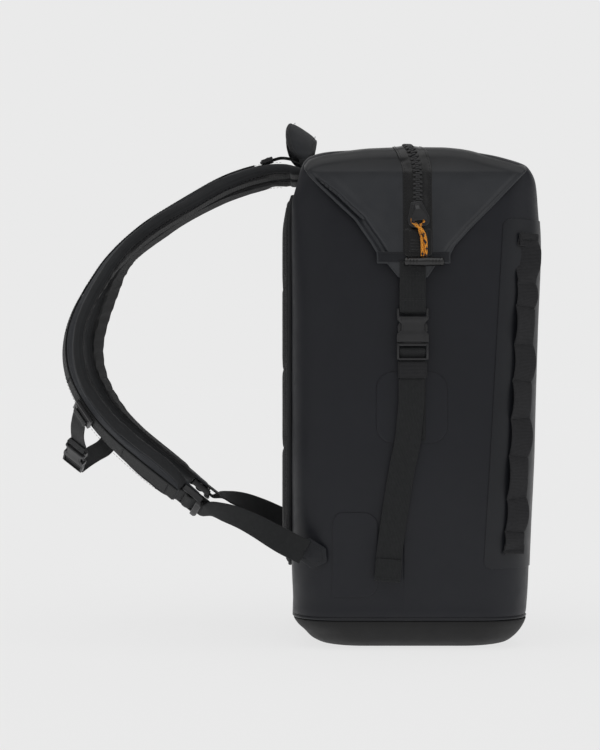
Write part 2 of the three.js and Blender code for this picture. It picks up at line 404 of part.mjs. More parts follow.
// ---- sternum strap
const SZ = V(0.2115, -0.8355, 0.509).normalize();
const SX = V(0.785, -0.166, -0.598).addScaledVector(SZ, -V(0.785, -0.166, -0.598).dot(SZ)).normalize();
const SY = SZ.clone().cross(SX).normalize();
const SO = V(-347, -18, 177.5);
const sternumMap = (x, y, z) => { const q = SO.clone().addScaledVector(SX, x * STERNUM_SCALE).addScaledVector(SY, y * STERNUM_SCALE).addScaledVector(SZ, z * STERNUM_SCALE); return [q.x, q.y, q.z]; };
placeBuckle('sternum_', sternumMap);
const frameAtZ = (z, share = 1) => { let lo = PAD_LEN * 0.5, hi = PAD_LEN; for (let i = 0; i < 40; i++) { const m = (lo + hi) / 2; if (padFrame(m, 0, 0).p.z > z) lo = m; else hi = m; } return padFrame(lo, 0, 0, 0, share); };
const nearSeat = frameAtZ(238), farSeat = frameAtZ(217, FAR_TWIST);
const sliderGeo = cut(box(-12, 12, -2, 2, -13.5, 13.5), box(-8.6, -5.6, -5, 5, -10.4, 10.4), box(5.6, 8.6, -5, 5, -10.4, 10.4));
add('sternum_slider_near', mapped(sliderGeo.clone(), onFrame(nearSeat, 0, PAD_HT + 5.2)), 'acetal');
add('sternum_slider_far', mirror(mapped(sliderGeo.clone(), onFrame(farSeat, 0, PAD_HT + 7.9))), 'acetal');
{
  const s0 = V(...onFrame(nearSeat, 0, PAD_HT + 5.2)(14.6, 2.4, 0)), s1 = V(...sternumMap(0, 0, 51.4));
  const e = V(...sternumMap(0, 0, 60));
  const near = [s0, s0.clone().lerp(e, 0.5).add(V(-1.5, 0, -1)), e, s1];
  add('sternum_webbing_near', sweep(ribbon(near.map((q) => [q.x, q.y, q.z]), near.map((_, i) => { const k = i / 3; const w = nearSeat.t.clone().lerp(SX, k); return [w.x, w.y, w.z]; }), 10, 0.7)), 'webbing');
  const f0 = V(...sternumMap(0, 0, -2.2)), fEnd = V(...onFrame(farSeat, 0, PAD_HT + 7.9)(0, 3.4, 0)), fMid = V(...onFrame(farSeat, 0, PAD_HT + 7.9)(16, 3.4, 0));
  fEnd.y = -fEnd.y; fMid.y = -fMid.y;
  const far = [f0, V(-344.5, -6, 175.8), V(-338.5, 8, 181), V(-331, 30, 186.5), V(-322.5, 58, 192), V(-316.5, 80, 199.5), fMid, fEnd];
  const wf = farSeat.t.clone(); wf.y = -wf.y;
  add('sternum_webbing_far', sweep(ribbon(far.map((q) => [q.x, q.y, q.z]), far.map((_, i) => { const k = Math.min(1, i / 4); const w = SX.clone().lerp(wf, k); return [w.x, w.y, w.z]; }), 10, 0.7)), 'webbing');
}

export default group;
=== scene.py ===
import sys

import json
import math

import bmesh
import bpy
import numpy as np
from mathutils import Vector
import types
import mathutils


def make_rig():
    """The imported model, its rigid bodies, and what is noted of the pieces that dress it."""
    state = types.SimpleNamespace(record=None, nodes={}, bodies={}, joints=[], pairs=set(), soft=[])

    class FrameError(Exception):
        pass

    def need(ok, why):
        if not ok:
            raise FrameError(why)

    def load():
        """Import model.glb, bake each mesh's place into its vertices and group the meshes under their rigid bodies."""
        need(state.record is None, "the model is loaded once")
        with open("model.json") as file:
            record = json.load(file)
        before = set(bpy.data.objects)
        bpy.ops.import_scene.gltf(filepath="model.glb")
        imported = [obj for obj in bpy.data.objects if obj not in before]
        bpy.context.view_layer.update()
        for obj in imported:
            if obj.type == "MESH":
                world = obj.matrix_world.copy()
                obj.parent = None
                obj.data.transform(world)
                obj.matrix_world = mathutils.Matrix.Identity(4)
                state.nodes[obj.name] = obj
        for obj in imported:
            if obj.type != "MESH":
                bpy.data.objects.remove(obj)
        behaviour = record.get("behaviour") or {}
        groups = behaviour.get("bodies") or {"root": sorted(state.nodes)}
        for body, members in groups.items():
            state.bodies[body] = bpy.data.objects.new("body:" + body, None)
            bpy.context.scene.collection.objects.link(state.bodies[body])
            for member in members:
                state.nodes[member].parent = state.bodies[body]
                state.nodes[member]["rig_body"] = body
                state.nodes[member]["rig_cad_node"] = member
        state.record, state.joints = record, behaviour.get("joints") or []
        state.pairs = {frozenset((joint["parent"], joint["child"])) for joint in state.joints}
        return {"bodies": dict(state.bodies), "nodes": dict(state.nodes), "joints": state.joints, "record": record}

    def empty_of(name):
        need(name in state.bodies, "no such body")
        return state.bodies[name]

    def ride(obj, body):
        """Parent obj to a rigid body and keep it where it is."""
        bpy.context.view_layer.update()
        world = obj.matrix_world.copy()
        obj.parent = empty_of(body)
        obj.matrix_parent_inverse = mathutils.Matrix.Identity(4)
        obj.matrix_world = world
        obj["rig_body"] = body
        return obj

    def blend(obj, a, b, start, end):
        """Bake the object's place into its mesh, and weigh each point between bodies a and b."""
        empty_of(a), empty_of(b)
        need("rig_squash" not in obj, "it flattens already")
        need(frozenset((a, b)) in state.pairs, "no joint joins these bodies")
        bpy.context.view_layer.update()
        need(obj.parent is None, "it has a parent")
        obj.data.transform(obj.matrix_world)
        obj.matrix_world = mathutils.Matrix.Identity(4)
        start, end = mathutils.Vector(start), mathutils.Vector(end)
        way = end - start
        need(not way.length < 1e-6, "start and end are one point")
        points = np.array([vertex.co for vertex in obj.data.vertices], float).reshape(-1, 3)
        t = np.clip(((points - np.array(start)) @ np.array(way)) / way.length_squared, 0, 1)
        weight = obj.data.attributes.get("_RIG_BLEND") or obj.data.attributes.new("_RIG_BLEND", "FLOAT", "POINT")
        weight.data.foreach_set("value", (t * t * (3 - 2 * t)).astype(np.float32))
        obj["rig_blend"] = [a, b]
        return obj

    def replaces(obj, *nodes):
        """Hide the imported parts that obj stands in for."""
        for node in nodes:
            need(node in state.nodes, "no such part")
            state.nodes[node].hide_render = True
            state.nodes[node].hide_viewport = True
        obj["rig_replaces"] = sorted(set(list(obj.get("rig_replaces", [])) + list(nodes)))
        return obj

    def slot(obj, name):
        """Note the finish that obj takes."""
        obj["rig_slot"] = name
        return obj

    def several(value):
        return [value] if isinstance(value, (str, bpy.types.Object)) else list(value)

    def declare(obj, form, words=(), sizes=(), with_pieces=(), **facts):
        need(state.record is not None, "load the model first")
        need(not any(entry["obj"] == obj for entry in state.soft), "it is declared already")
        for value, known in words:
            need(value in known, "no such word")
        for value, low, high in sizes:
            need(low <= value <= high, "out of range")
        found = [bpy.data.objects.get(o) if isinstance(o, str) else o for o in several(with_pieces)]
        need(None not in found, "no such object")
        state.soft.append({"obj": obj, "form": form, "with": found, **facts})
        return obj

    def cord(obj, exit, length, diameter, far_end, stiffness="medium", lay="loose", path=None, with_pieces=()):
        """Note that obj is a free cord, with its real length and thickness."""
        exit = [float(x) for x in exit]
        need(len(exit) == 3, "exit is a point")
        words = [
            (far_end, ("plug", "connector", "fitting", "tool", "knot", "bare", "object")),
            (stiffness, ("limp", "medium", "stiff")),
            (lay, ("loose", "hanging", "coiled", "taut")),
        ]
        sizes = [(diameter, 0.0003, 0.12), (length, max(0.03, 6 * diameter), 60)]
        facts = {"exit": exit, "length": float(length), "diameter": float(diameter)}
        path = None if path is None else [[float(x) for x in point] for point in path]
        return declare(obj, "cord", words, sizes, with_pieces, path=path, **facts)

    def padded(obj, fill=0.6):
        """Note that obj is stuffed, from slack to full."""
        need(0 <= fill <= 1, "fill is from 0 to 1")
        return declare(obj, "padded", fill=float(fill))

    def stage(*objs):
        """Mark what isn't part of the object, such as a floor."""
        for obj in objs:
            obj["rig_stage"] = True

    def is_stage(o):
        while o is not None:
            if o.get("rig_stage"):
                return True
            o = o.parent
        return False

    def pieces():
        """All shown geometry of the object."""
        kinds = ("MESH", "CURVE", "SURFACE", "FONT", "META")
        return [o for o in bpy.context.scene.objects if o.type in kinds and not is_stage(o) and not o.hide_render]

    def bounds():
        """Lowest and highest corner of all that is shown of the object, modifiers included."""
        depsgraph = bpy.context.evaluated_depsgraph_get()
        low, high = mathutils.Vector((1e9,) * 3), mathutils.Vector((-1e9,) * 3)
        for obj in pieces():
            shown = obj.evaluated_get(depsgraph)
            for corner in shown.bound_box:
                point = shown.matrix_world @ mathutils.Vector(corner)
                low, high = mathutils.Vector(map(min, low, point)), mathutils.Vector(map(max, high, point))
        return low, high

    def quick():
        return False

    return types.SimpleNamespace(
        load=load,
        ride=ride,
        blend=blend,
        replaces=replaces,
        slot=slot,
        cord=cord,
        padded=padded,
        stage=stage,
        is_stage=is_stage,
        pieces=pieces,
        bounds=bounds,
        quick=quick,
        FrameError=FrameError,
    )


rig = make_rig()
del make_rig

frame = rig.load()
CAD_LO, CAD_HI = (list(v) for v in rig.bounds())
RNG = np.random.default_rng(7)
MM = 0.001

# =====================================================================  camera
cam_data = bpy.data.cameras.new("camera")
cam_data.sensor_width = 36
cam_data.lens = 100.32
cam_data.clip_start, cam_data.clip_end = 0.05, 200
cam = bpy.data.objects.new("camera", cam_data)
cam.location = (-0.110, -2.200, 0.271)
cam.rotation_euler = (math.pi / 2, 0, 0)
bpy.context.scene.collection.objects.link(cam)
bpy.context.scene.camera = cam


# =====================================================================  mesh helpers (all lengths in mm)
def A(x):
    return np.asarray(x, float)


def unit(v):
    v = A(v)
    return v / np.maximum(np.linalg.norm(v, axis=-1, keepdims=True), 1e-9)


def smooth(t):
    t = np.clip(t, 0, 1)
    return t * t * (3 - 2 * t)


def link(ob):
    bpy.context.scene.collection.objects.link(ob)
    return ob


def mesh(name, V, F, mats, shade=True, lay=None, fmat=None, fix=True, sharp=None):
    """A mesh object from points in mm. lay is a vector per point: across, along, spare, in metres."""
    me = bpy.data.meshes.new(name)
    me.from_pydata((A(V) * MM).tolist(), [], [tuple(int(i) for i in f) for f in F])
    if lay is not None:
        at = me.attributes.new("lay", "FLOAT_VECTOR", "POINT")
        at.data.foreach_set("vector", A(lay).astype(np.float32).ravel())
    for m in mats if isinstance(mats, (list, tuple)) else [mats]:
        me.materials.append(m)
    if fmat is not None:
        me.polygons.foreach_set("material_index", np.asarray(fmat, np.int32))
    if fix:
        bm = bmesh.new()
        bm.from_mesh(me)
        bmesh.ops.recalc_face_normals(bm, faces=bm.faces)
        bm.to_mesh(me)
        bm.free()
    me.polygons.foreach_set("use_smooth", np.full(len(me.polygons), bool(shade)))
    if sharp is not None:
        me.set_sharp_from_angle(angle=math.radians(sharp))
    me.update()
    return link(bpy.data.objects.new(name, me))


def grid_faces(L, K, closed=True, base=0, flip=False):
    j, k = np.meshgrid(np.arange(L - 1), np.arange(K if closed else K - 1), indexing="ij")
    a, b = j * K + k, j * K + (k + 1) % K
    f = np.stack([a, b, b + K, a + K], -1).reshape(-1, 4) + base
    return f[:, ::-1] if flip else f


def loops(R, lay=None, cap=True):
    """Points and faces of a tube through closed loops R[L, K, 3], with its ends closed."""
    R = A(R)
    L, K = R.shape[:2]
    V = R.reshape(-1, 3)
    F = [tuple(f) for f in grid_faces(L, K)]
    if cap:
        F.append(tuple(range(K - 1, -1, -1)))
        F.append(tuple((L - 1) * K + k for k in range(K)))
    return V, F


def resample(P, step=None, n=None):
    P = A(P)
    d = np.r_[0, np.cumsum(np.linalg.norm(np.diff(P, axis=0), axis=1))]
    m = n or max(2, int(round(d[-1] / step)) + 1)
    s = np.linspace(0, d[-1], m)
    return np.stack([np.interp(s, d, P[:, k]) for k in range(P.shape[1])], 1), s


def catmull(points, n=600, power=0.25):
    """Centripetal Catmull-Rom through the points."""
    P = A(points)
    m = len(P)
    out = []
    for q in range(n + 1):
        u = (m - 1) * q / n
        i = min(int(u), m - 2)
        w = u - i
        p0 = P[i - 1] if i > 0 else 2 * P[0] - P[1]
        p1, p2 = P[i], P[i + 1]
        p3 = P[i + 2] if i + 2 < m else 2 * P[m - 1] - P[m - 2]
        d0, d1, d2 = (max(1e-4, float(np.sum((a - b) ** 2)) ** power) for a, b in ((p0, p1), (p1, p2), (p2, p3)))
        t1 = ((p1 - p0) / d0 - (p2 - p0) / (d0 + d1) + (p2 - p1) / d1) * d1
        t2 = ((p2 - p1) / d1 - (p3 - p1) / (d1 + d2) + (p3 - p2) / d2) * d1
        out.append(p1 + t1 * w + (-3 * p1 + 3 * p2 - 2 * t1 - t2) * w * w + (2 * p1 - 2 * p2 + t1 + t2) * w ** 3)
    return A(out)


def section(a, b, n=9, crown=0.0, e=4):
    """Rounded flat section: half width a, half thickness b."""
    top = [(x, b * (1 + crown * (1 - (x / max(a, 1e-6)) ** 2))) for x in np.linspace(a - b, -(a - b), n)]
    left = [(-(a - b) - b * math.sin(t), b * math.cos(t)) for t in np.linspace(0, math.pi, e + 2)[1:-1]]
    bot = [(x, -y) for x, y in reversed(top)]
    right = [((a - b) + b * math.sin(t), -b * math.cos(t)) for t in np.linspace(0, math.pi, e + 2)[1:-1]]
    return A(top + left + bot + right)


def frames_of(P, W):
    P = A(P)
    T = np.gradient(P, axis=0)
    T = unit(T)
    W = A(W)
    if W.ndim == 1:
        W = np.tile(W, (len(P), 1))
    W = unit(W - (W * T).sum(1, keepdims=True) * T)
    return P, T, W, np.cross(W, T)


def strip(name, P, W, a, b, mat, step=2.0, curve=True, crown=0.0, wave=0.0, n=9, round_ends=True, across=None, ease=None):
    """Webbing or a strap: a rounded flat section swept along P with width directions W."""
    P = A(P)
    W = A(W)
    if W.ndim == 1:
        W = np.tile(W, (len(P), 1))
    ab = np.stack([np.broadcast_to(a, len(P)), np.broadcast_to(b, len(P))], 1)
    X = np.hstack([P, W, ab])
    if curve:
        C = catmull(np.hstack([P, W * 20, ab]), n=40 * (len(P) - 1))
        C[:, 3:6] /= 20
        X = C
    X, s = resample(X, step) if False else _resample_by(X, step)
    P, T, W, N = frames_of(X[:, :3], X[:, 3:6])
    R, lay = [], []
    m = len(P)
    for i in range(m):
        aa, bb = X[i, 6], X[i, 7]
        sec = section(aa, bb, n, crown)
        w = wave * math.sin(s[i] * 0.21) * np.ones(len(sec)) if wave else 0
        R.append(P[i] + np.outer(sec[:, 0], W[i]) + np.outer(sec[:, 1] + w, N[i]))
        lay.append(np.c_[sec[:, 0], np.full(len(sec), s[i]), np.sign(sec[:, 1])])
    if round_ends:
        for end, sg in ((0, -1), (-1, 1)):
            aa, bb = X[end, 6], X[end, 7]
            for ang in (35, 68):
                c, q = math.cos(math.radians(ang)), math.sin(math.radians(ang))
                sec = section(aa - bb * (1 - c) * 0.6, bb * max(c, 0.15), n, crown)
                ring = P[end] + sg * T[end] * bb * q + np.outer(sec[:, 0], W[end]) + np.outer(sec[:, 1], N[end])
                l = np.c_[sec[:, 0], np.full(len(sec), s[end] + sg * bb * q), np.sign(sec[:, 1])]
                if end == 0:
                    R.insert(0, ring), lay.insert(0, l)
                else:
                    R.append(ring), lay.append(l)
    V, F = loops(A(R))
    return mesh(name, V, F, mat, lay=np.vstack(lay) * MM)


def _resample_by(X, step):
    d = np.r_[0, np.cumsum(np.linalg.norm(np.diff(X[:, :3], axis=0), axis=1))]
    m = max(2, int(round(d[-1] / step)) + 1)
    s = np.linspace(0, d[-1], m)
    return np.stack([np.interp(s, d, X[:, k]) for k in range(X.shape[1])], 1), s


def tube(name, P, r, mat, k=10, closed=False):
    P = A(P)
    T = unit(np.gradient(P, axis=0))
    ref = A([0, 0, 1.0]) if abs(T[0][2]) < 0.9 else A([1.0, 0, 0])
    Wd = unit(np.cross(T[0], ref))
    R = []
    rr = np.broadcast_to(r, len(P))
    for i in range(len(P)):
        Wd = unit(Wd - np.dot(Wd, T[i]) * T[i])
        N = np.cross(Wd, T[i])
        a = np.linspace(0, 2 * math.pi, k, endpoint=False)
        R.append(P[i] + rr[i] * (np.outer(np.cos(a), Wd) + np.outer(np.sin(a), N)))
    V, F = loops(A(R))
    return mesh(name, V, F, mat)


def join(name, obs):
    """One object out of several, keeping their materials."""
    obs = [o for o in obs if o is not None]
    bpy.context.view_layer.update()
    for o in bpy.context.selected_objects:
        o.select_set(False)
    for o in obs:
        o.select_set(True)
    bpy.context.view_layer.objects.active = obs[0]
    bpy.ops.object.join()
    obs[0].name = name
    obs[0].data.name = name
    obs[0].select_set(False)
    return obs[0]


def remap(ob, fn):
    """Moves every point of an object through fn (mm in, mm out)."""
    n = len(ob.data.vertices)
    co = np.zeros(n * 3)
    ob.data.vertices.foreach_get("co", co)
    co = fn(co.reshape(-1, 3) / MM) * MM
    ob.data.vertices.foreach_set("co", co.ravel())
    ob.data.update()
    return ob


def flip_normals(ob):
    bm = bmesh.new()
    bm.from_mesh(ob.data)
    bmesh.ops.reverse_faces(bm, faces=bm.faces)
    bm.to_mesh(ob.data)
    bm.free()
    return ob


def mirrored(ob, name):
    """A copy on the far side."""
    c = ob.copy()
    c.data = ob.data.copy()
    c.name = c.data.name = name
    link(c)
    remap(c, lambda q: q * A([1, -1, 1]))
    return flip_normals(c)


def plate(name, outline, y0, y1, mat, holes=(), bev=0.5, res=3):
    """A flat moulded plate, outline in (x, z), from y0 to y1, with its edges rounded."""
    cu = bpy.data.curves.new(name, "CURVE")
    cu.dimensions = "2D"
    cu.fill_mode = "BOTH"
    for pts in [outline, *holes]:
        sp = cu.splines.new("POLY")
        sp.points.add(len(pts) - 1)
        for p, q in zip(sp.points, pts):
            p.co = (q[0], q[1], 0, 1)
        sp.use_cyclic_u = True
    t = (y1 - y0) / 2
    bev = min(bev, t * 0.95)
    cu.extrude = t - bev
    cu.bevel_depth = bev
    cu.bevel_resolution = res
    cu.offset = -bev
    ob = link(bpy.data.objects.new(name, cu))
    bpy.context.view_layer.update()
    me = bpy.data.meshes.new_from_object(ob.evaluated_get(bpy.context.evaluated_depsgraph_get()))
    bpy.data.objects.remove(ob)
    n = len(me.vertices)
    co = np.zeros(n * 3)
    me.vertices.foreach_get("co", co)
    co = co.reshape(-1, 3)
    co = np.c_[co[:, 0], (y0 + y1) / 2 + co[:, 2], co[:, 1]] * MM
    me.vertices.foreach_set("co", co.ravel())
    me.materials.clear()
    me.materials.append(mat)
    bm = bmesh.new()
    bm.from_mesh(me)
    bmesh.ops.remove_doubles(bm, verts=bm.verts, dist=1e-6)
    bmesh.ops.recalc_face_normals(bm, faces=bm.faces)
    bm.to_mesh(me)
    bm.free()
    me.polygons.foreach_set("use_smooth", np.full(len(me.polygons), True))
    me.set_sharp_from_angle(angle=math.radians(40))
    me.name = name
    return link(bpy.data.objects.new(name, me))


def rrect(x0, x1, z0, z1, r, n=6):
    out = []
    rs = r if hasattr(r, "__len__") else [r] * 4
    for (cx, cz, a0), q in zip(((x1, z1, 0), (x0, z1, 1), (x0, z0, 2), (x1, z0, 3)), rs):
        sx, sz = (-1 if cx == x1 else 1), (-1 if cz == z1 else 1)
        for k in range(n + 1):
            a = (a0 + k / n) * math.pi / 2
            out.append((cx + sx * q + q * math.cos(a), cz + sz * q + q * math.sin(a)))
    return out


def rounded(pts, r, n=5):
    """A polygon with its corners rounded; r is one radius or one for each corner."""
    P = A(pts)
    m = len(P)
    rs = r if hasattr(r, "__len__") else [r] * m
    out = []
    for i in range(m):
        p, a, b = P[i], P[i - 1], P[(i + 1) % m]
        u, v = unit(a - p), unit(b - p)
        ang = math.acos(float(np.clip(u @ v, -1, 1)))
        rr = rs[i]
        if rr <= 0 or ang > 3.1:
            out.append(tuple(p))
            continue
        d = min(rr / math.tan(ang / 2), 0.48 * np.linalg.norm(a - p), 0.48 * np.linalg.norm(b - p))
        s, e = p + u * d, p + v * d
        for k in range(n + 1):
            t = k / n
            out.append(tuple((1 - t) ** 2 * s + 2 * t * (1 - t) * p + t * t * e))
    return out


def bar(name, x0, x1, y0, y1, z0, z1, mat, bev=0.4):
    """A moulded bar or block with rounded edges."""
    bm = bmesh.new()
    bmesh.ops.create_cube(bm, size=1)
    for v in bm.verts:
        v.co = (x0 + (v.co.x + 0.5) * (x1 - x0), y0 + (v.co.y + 0.5) * (y1 - y0), z0 + (v.co.z + 0.5) * (z1 - z0))
    w = min(bev, 0.45 * min(x1 - x0, y1 - y0, z1 - z0))
    bmesh.ops.bevel(bm, geom=list(bm.edges), offset=w, segments=3, profile=0.5, affect="EDGES")
    me = bpy.data.meshes.new(name)
    for v in bm.verts:
        v.co *= MM
    bm.to_mesh(me)
    bm.free()
    me.materials.append(mat)
    me.polygons.foreach_set("use_smooth", np.full(len(me.polygons), True))
    me.set_sharp_from_angle(angle=math.radians(35))
    return link(bpy.data.objects.new(name, me))


def dashes(name, lines, mat, length=2.6, gap=1.0, r=0.24, lift=0.1):
    """Stitches: short raised threads along each line. A line is (points, outward directions)."""
    V, F = [], []
    prof = [(-0.5, 0.25), (-0.42, 0.8), (-0.2, 1.0), (0.2, 1.0), (0.42, 0.8), (0.5, 0.25)]
    K = 6
    for P, N in lines:
        P = A(P)
        N = A(N)
        if N.ndim == 1:
            N = np.tile(N, (len(P), 1))
        X, s = _resample_by(np.hstack([P, N]), 0.5)
        total = s[-1]
        pitch = length + gap
        cnt = max(1, int(total / pitch))
        pitch = total / cnt
        for q in range(cnt):
            c = (q + 0.5) * pitch
            half = pitch * length / (length + gap)
            idx = [np.array([np.interp(c + u * half, s, X[:, k]) for k in range(6)]) for u, _ in prof]
            tdir = unit(idx[-1][:3] - idx[0][:3])
            base = len(V)
            for (u, w), it in zip(prof, idx):
                nn = unit(it[3:] - (it[3:] @ tdir) * tdir)
                side = np.cross(tdir, nn)
                ctr = it[:3] + nn * (lift - (1 - w) * r)
                for k in range(K):
                    a = 2 * math.pi * k / K
                    V.append(ctr + r * w * (math.cos(a) * side + math.sin(a) * nn * 0.8))
            for j in range(len(prof) - 1):
                for k in range(K):
                    F.append((base + j * K + k, base + j * K + (k + 1) % K, base + (j + 1) * K + (k + 1) % K, base + (j + 1) * K + k))
            F.append(tuple(base + k for k in reversed(range(K))))
            F.append(tuple(base + (len(prof) - 1) * K + k for k in range(K)))
    return mesh(name, V, F, mat)


def bartack(at, across, along, nrm, w, n=16, h=2.4):
    """The zigzag line of a bar tack, for dashes()."""
    pts = []
    for i in range(n + 1):
        pts.append(A(at) + A(across) * (-w / 2 + w * i / n) + A(along) * (h / 2 if i % 2 else -h / 2))
    return [(np.array([pts[i], pts[i + 1]]), A(nrm)) for i in range(n)]


# =====================================================================  material helpers
class NT:
    def __init__(self, name):
        self.m = bpy.data.materials.new(name)
        self.m.use_nodes = True
        self.t = self.m.node_tree
        self.n = self.t.nodes
        self.bsdf = self.n["Principled BSDF"]

    def node(self, kind, **inputs):
        nd = self.n.new(kind)
        for k, v in inputs.items():
            key = int(k[1:]) if k[0] == "i" and k[1:].isdigit() else k.replace("_", " ")
            self.put(nd.inputs[key], v)
        return nd

    def put(self, sock, v):
        if isinstance(v, bpy.types.NodeSocket):
            self.t.links.new(v, sock)
        elif hasattr(v, "__len__") and len(v) == 3 and len(getattr(sock, "default_value", [0])) == 4:
            sock.default_value = (*v, 1)
        else:
            sock.default_value = v

    def math(self, op, a, b=0.0, c=None, clamp=False):
        nd = self.n.new("ShaderNodeMath")
        nd.operation = op
        nd.use_clamp = clamp
        self.put(nd.inputs[0], a)
        self.put(nd.inputs[1], b)
        if c is not None:
            self.put(nd.inputs[2], c)
        return nd.outputs[0]

    def vmath(self, op, a, b):
        nd = self.n.new("ShaderNodeVectorMath")
        nd.operation = op
        self.put(nd.inputs[0], a)
        if op == "SCALE":
            self.put(nd.inputs["Scale"], b)
        else:
            self.put(nd.inputs[1], b)
        return nd.outputs[0]

    def obj(self):
        return self.n.new("ShaderNodeTexCoord").outputs["Object"]

    def lay(self):
        nd = self.n.new("ShaderNodeAttribute")
        nd.attribute_name = "lay"
        return nd.outputs["Vector"]

    def xyz(self, v):
        nd = self.n.new("ShaderNodeSeparateXYZ")
        self.put(nd.inputs[0], v)
        return nd.outputs

    def noise(self, vec, scale, detail=3.0, rough=0.55, dist=0.0):
        nd = self.n.new("ShaderNodeTexNoise")
        self.put(nd.inputs["Vector"], vec)
        nd.inputs["Scale"].default_value = scale
        nd.inputs["Detail"].default_value = detail
        nd.inputs["Roughness"].default_value = rough
        nd.inputs["Distortion"].default_value = dist
        return nd.outputs["Fac"]

    def voronoi(self, vec, scale, feature="F1", rnd=1.0):
        nd = self.n.new("ShaderNodeTexVoronoi")
        nd.feature = feature
        self.put(nd.inputs["Vector"], vec)
        nd.inputs["Scale"].default_value = scale
        nd.inputs["Randomness"].default_value = rnd
        return nd.outputs["Distance"]

    def ramp(self, fac, lo, hi, a, b):
        nd = self.n.new("ShaderNodeMapRange")
        self.put(nd.inputs["Value"], fac)
        for k, v in (("From Min", lo), ("From Max", hi), ("To Min", a), ("To Max", b)):
            nd.inputs[k].default_value = v
        nd.clamp = True
        return nd.outputs[0]

    def mix(self, fac, a, b):
        nd = self.n.new("ShaderNodeMix")
        nd.data_type = "RGBA"
        self.put(nd.inputs[0], fac)
        self.put(nd.inputs[6], a)
        self.put(nd.inputs[7], b)
        return nd.outputs[2]

    def bump(self, height, strength=0.3, dist=0.0005, normal=None):
        nd = self.n.new("ShaderNodeBump")
        nd.inputs["Strength"].default_value = strength
        nd.inputs["Distance"].default_value = dist
        self.put(nd.inputs["Height"], height)
        if normal is not None:
            self.put(nd.inputs["Normal"], normal)
        return nd.outputs[0]

    def done(self, color, rough, normal=None, spec=0.5, sheen=0.0, sheen_rough=0.5, coat=0.0, coat_rough=0.2, metal=0.0):
        b = self.bsdf.inputs
        self.put(b["Base Color"], color)
        self.put(b["Roughness"], rough)
        if normal is not None:
            self.put(b["Normal"], normal)
        b["Specular IOR Level"].default_value = spec
        b["Sheen Weight"].default_value = sheen
        b["Sheen Roughness"].default_value = sheen_rough
        b["Coat Weight"].default_value = coat
        b["Coat Roughness"].default_value = coat_rough
        b["Metallic"].default_value = metal
        return self.m


def lin(r, g, b, k=1.0):
    f = lambda c: (c / 255 / 12.92 if c <= 10 else ((c / 255 + 0.055) / 1.055) ** 2.4) * k
    return (f(r), f(g), f(b))


def mat_coated(name, rgb, k=0.62, rough=0.46, weave=0.10, spec=0.42, top=None):
    """Polyurethane-coated woven fabric: the weave just shows through the film. top = (z0, z1, k) is painted shade:
    above that height the colour is darkened to scale k.
    """
    t = NT(name)
    o = t.obj()
    lx = t.xyz(t.lay())
    wu = t.math("ABSOLUTE", t.math("SINE", t.math("MULTIPLY", lx[0], math.pi / 0.00062)))
    wv = t.math("ABSOLUTE", t.math("SINE", t.math("MULTIPLY", lx[1], math.pi / 0.00062)))
    wv2 = t.math("MULTIPLY", wu, wv)
    big = t.noise(o, 9, 3, 0.5)
    mid = t.noise(o, 70, 4, 0.6)
    fine = t.noise(o, 1500, 2, 0.7)
    col = t.mix(t.ramp(big, 0.3, 0.7, 0, 1), lin(*rgb, k * 0.93), lin(*[c + 2 for c in rgb], k * 1.07))
    col = t.mix(t.ramp(mid, 0.35, 0.75, 0, 0.25), col, lin(*[c + 6 for c in rgb], k * 1.1))
    # painted shade: darker colour above the given height, holding back the roof that the overhead lamp lights too
    # brightly
    if top:
        col = t.mix(t.ramp(t.xyz(o)[2], top[0], top[1], 0, 1), col, lin(*rgb, top[2]))
    rg = t.ramp(mid, 0.25, 0.8, rough - 0.07, rough + 0.09)
    h = t.math("ADD", t.math("MULTIPLY", wv2, 0.5), t.math("MULTIPLY", fine, 0.6))
    nrm = t.bump(t.noise(o, 26, 2, 0.45), 0.10, 0.004)
    nrm = t.bump(h, weave, 0.0002, nrm)
    return t.done(col, rg, nrm, spec=spec, sheen=0.03, sheen_rough=0.4)


def mat_webbing(name, rgb, k=0.8, rib=1.4, spec=0.22, rough=0.72, cross=0.55, stagger=0.5):
    """Woven nylon webbing: warp cords along it, crossed by a rib at each weft."""
    t = NT(name)
    lx = t.xyz(t.lay())
    u = t.math("DIVIDE", lx[0], rib * 0.001)
    v = t.math("DIVIDE", lx[1], rib * 0.00086)
    cell = t.math("FLOOR", u)
    warp = t.math("ABSOLUTE", t.math("SINE", t.math("MULTIPLY", u, math.pi)))
    ph = t.math("ADD", v, t.math("MULTIPLY", t.math("MODULO", t.math("ABSOLUTE", cell), 2.0), stagger))
    weft = t.math("ABSOLUTE", t.math("SINE", t.math("MULTIPLY", ph, math.pi)))
    h = t.math("ADD", t.math("MULTIPLY", warp, 1 - cross), t.math("MULTIPLY", weft, cross))
    fuzz = t.noise(t.obj(), 1800, 3, 0.7)
    h2 = t.math("ADD", h, t.math("MULTIPLY", fuzz, 0.35))
    tone = t.noise(t.obj(), 240, 3, 0.6)
    # painted shade and painted highlight: the colour follows the weave height, darker in the valleys and lighter on the
    # ridges
    col = t.mix(t.ramp(h, 0.25, 0.95, 0, 1), lin(*rgb, k * 0.55), lin(*[c + 4 for c in rgb], k * 1.25))
    col = t.mix(t.ramp(tone, 0.4, 0.7, 0, 0.35), col, lin(*[c + 8 for c in rgb], k * 1.2))
    rg = t.ramp(fuzz, 0.2, 0.8, rough - 0.08, rough + 0.12)
    return t.done(col, rg, t.bump(h2, 0.7, 0.00035), spec=spec, sheen=0.12, sheen_rough=0.35)


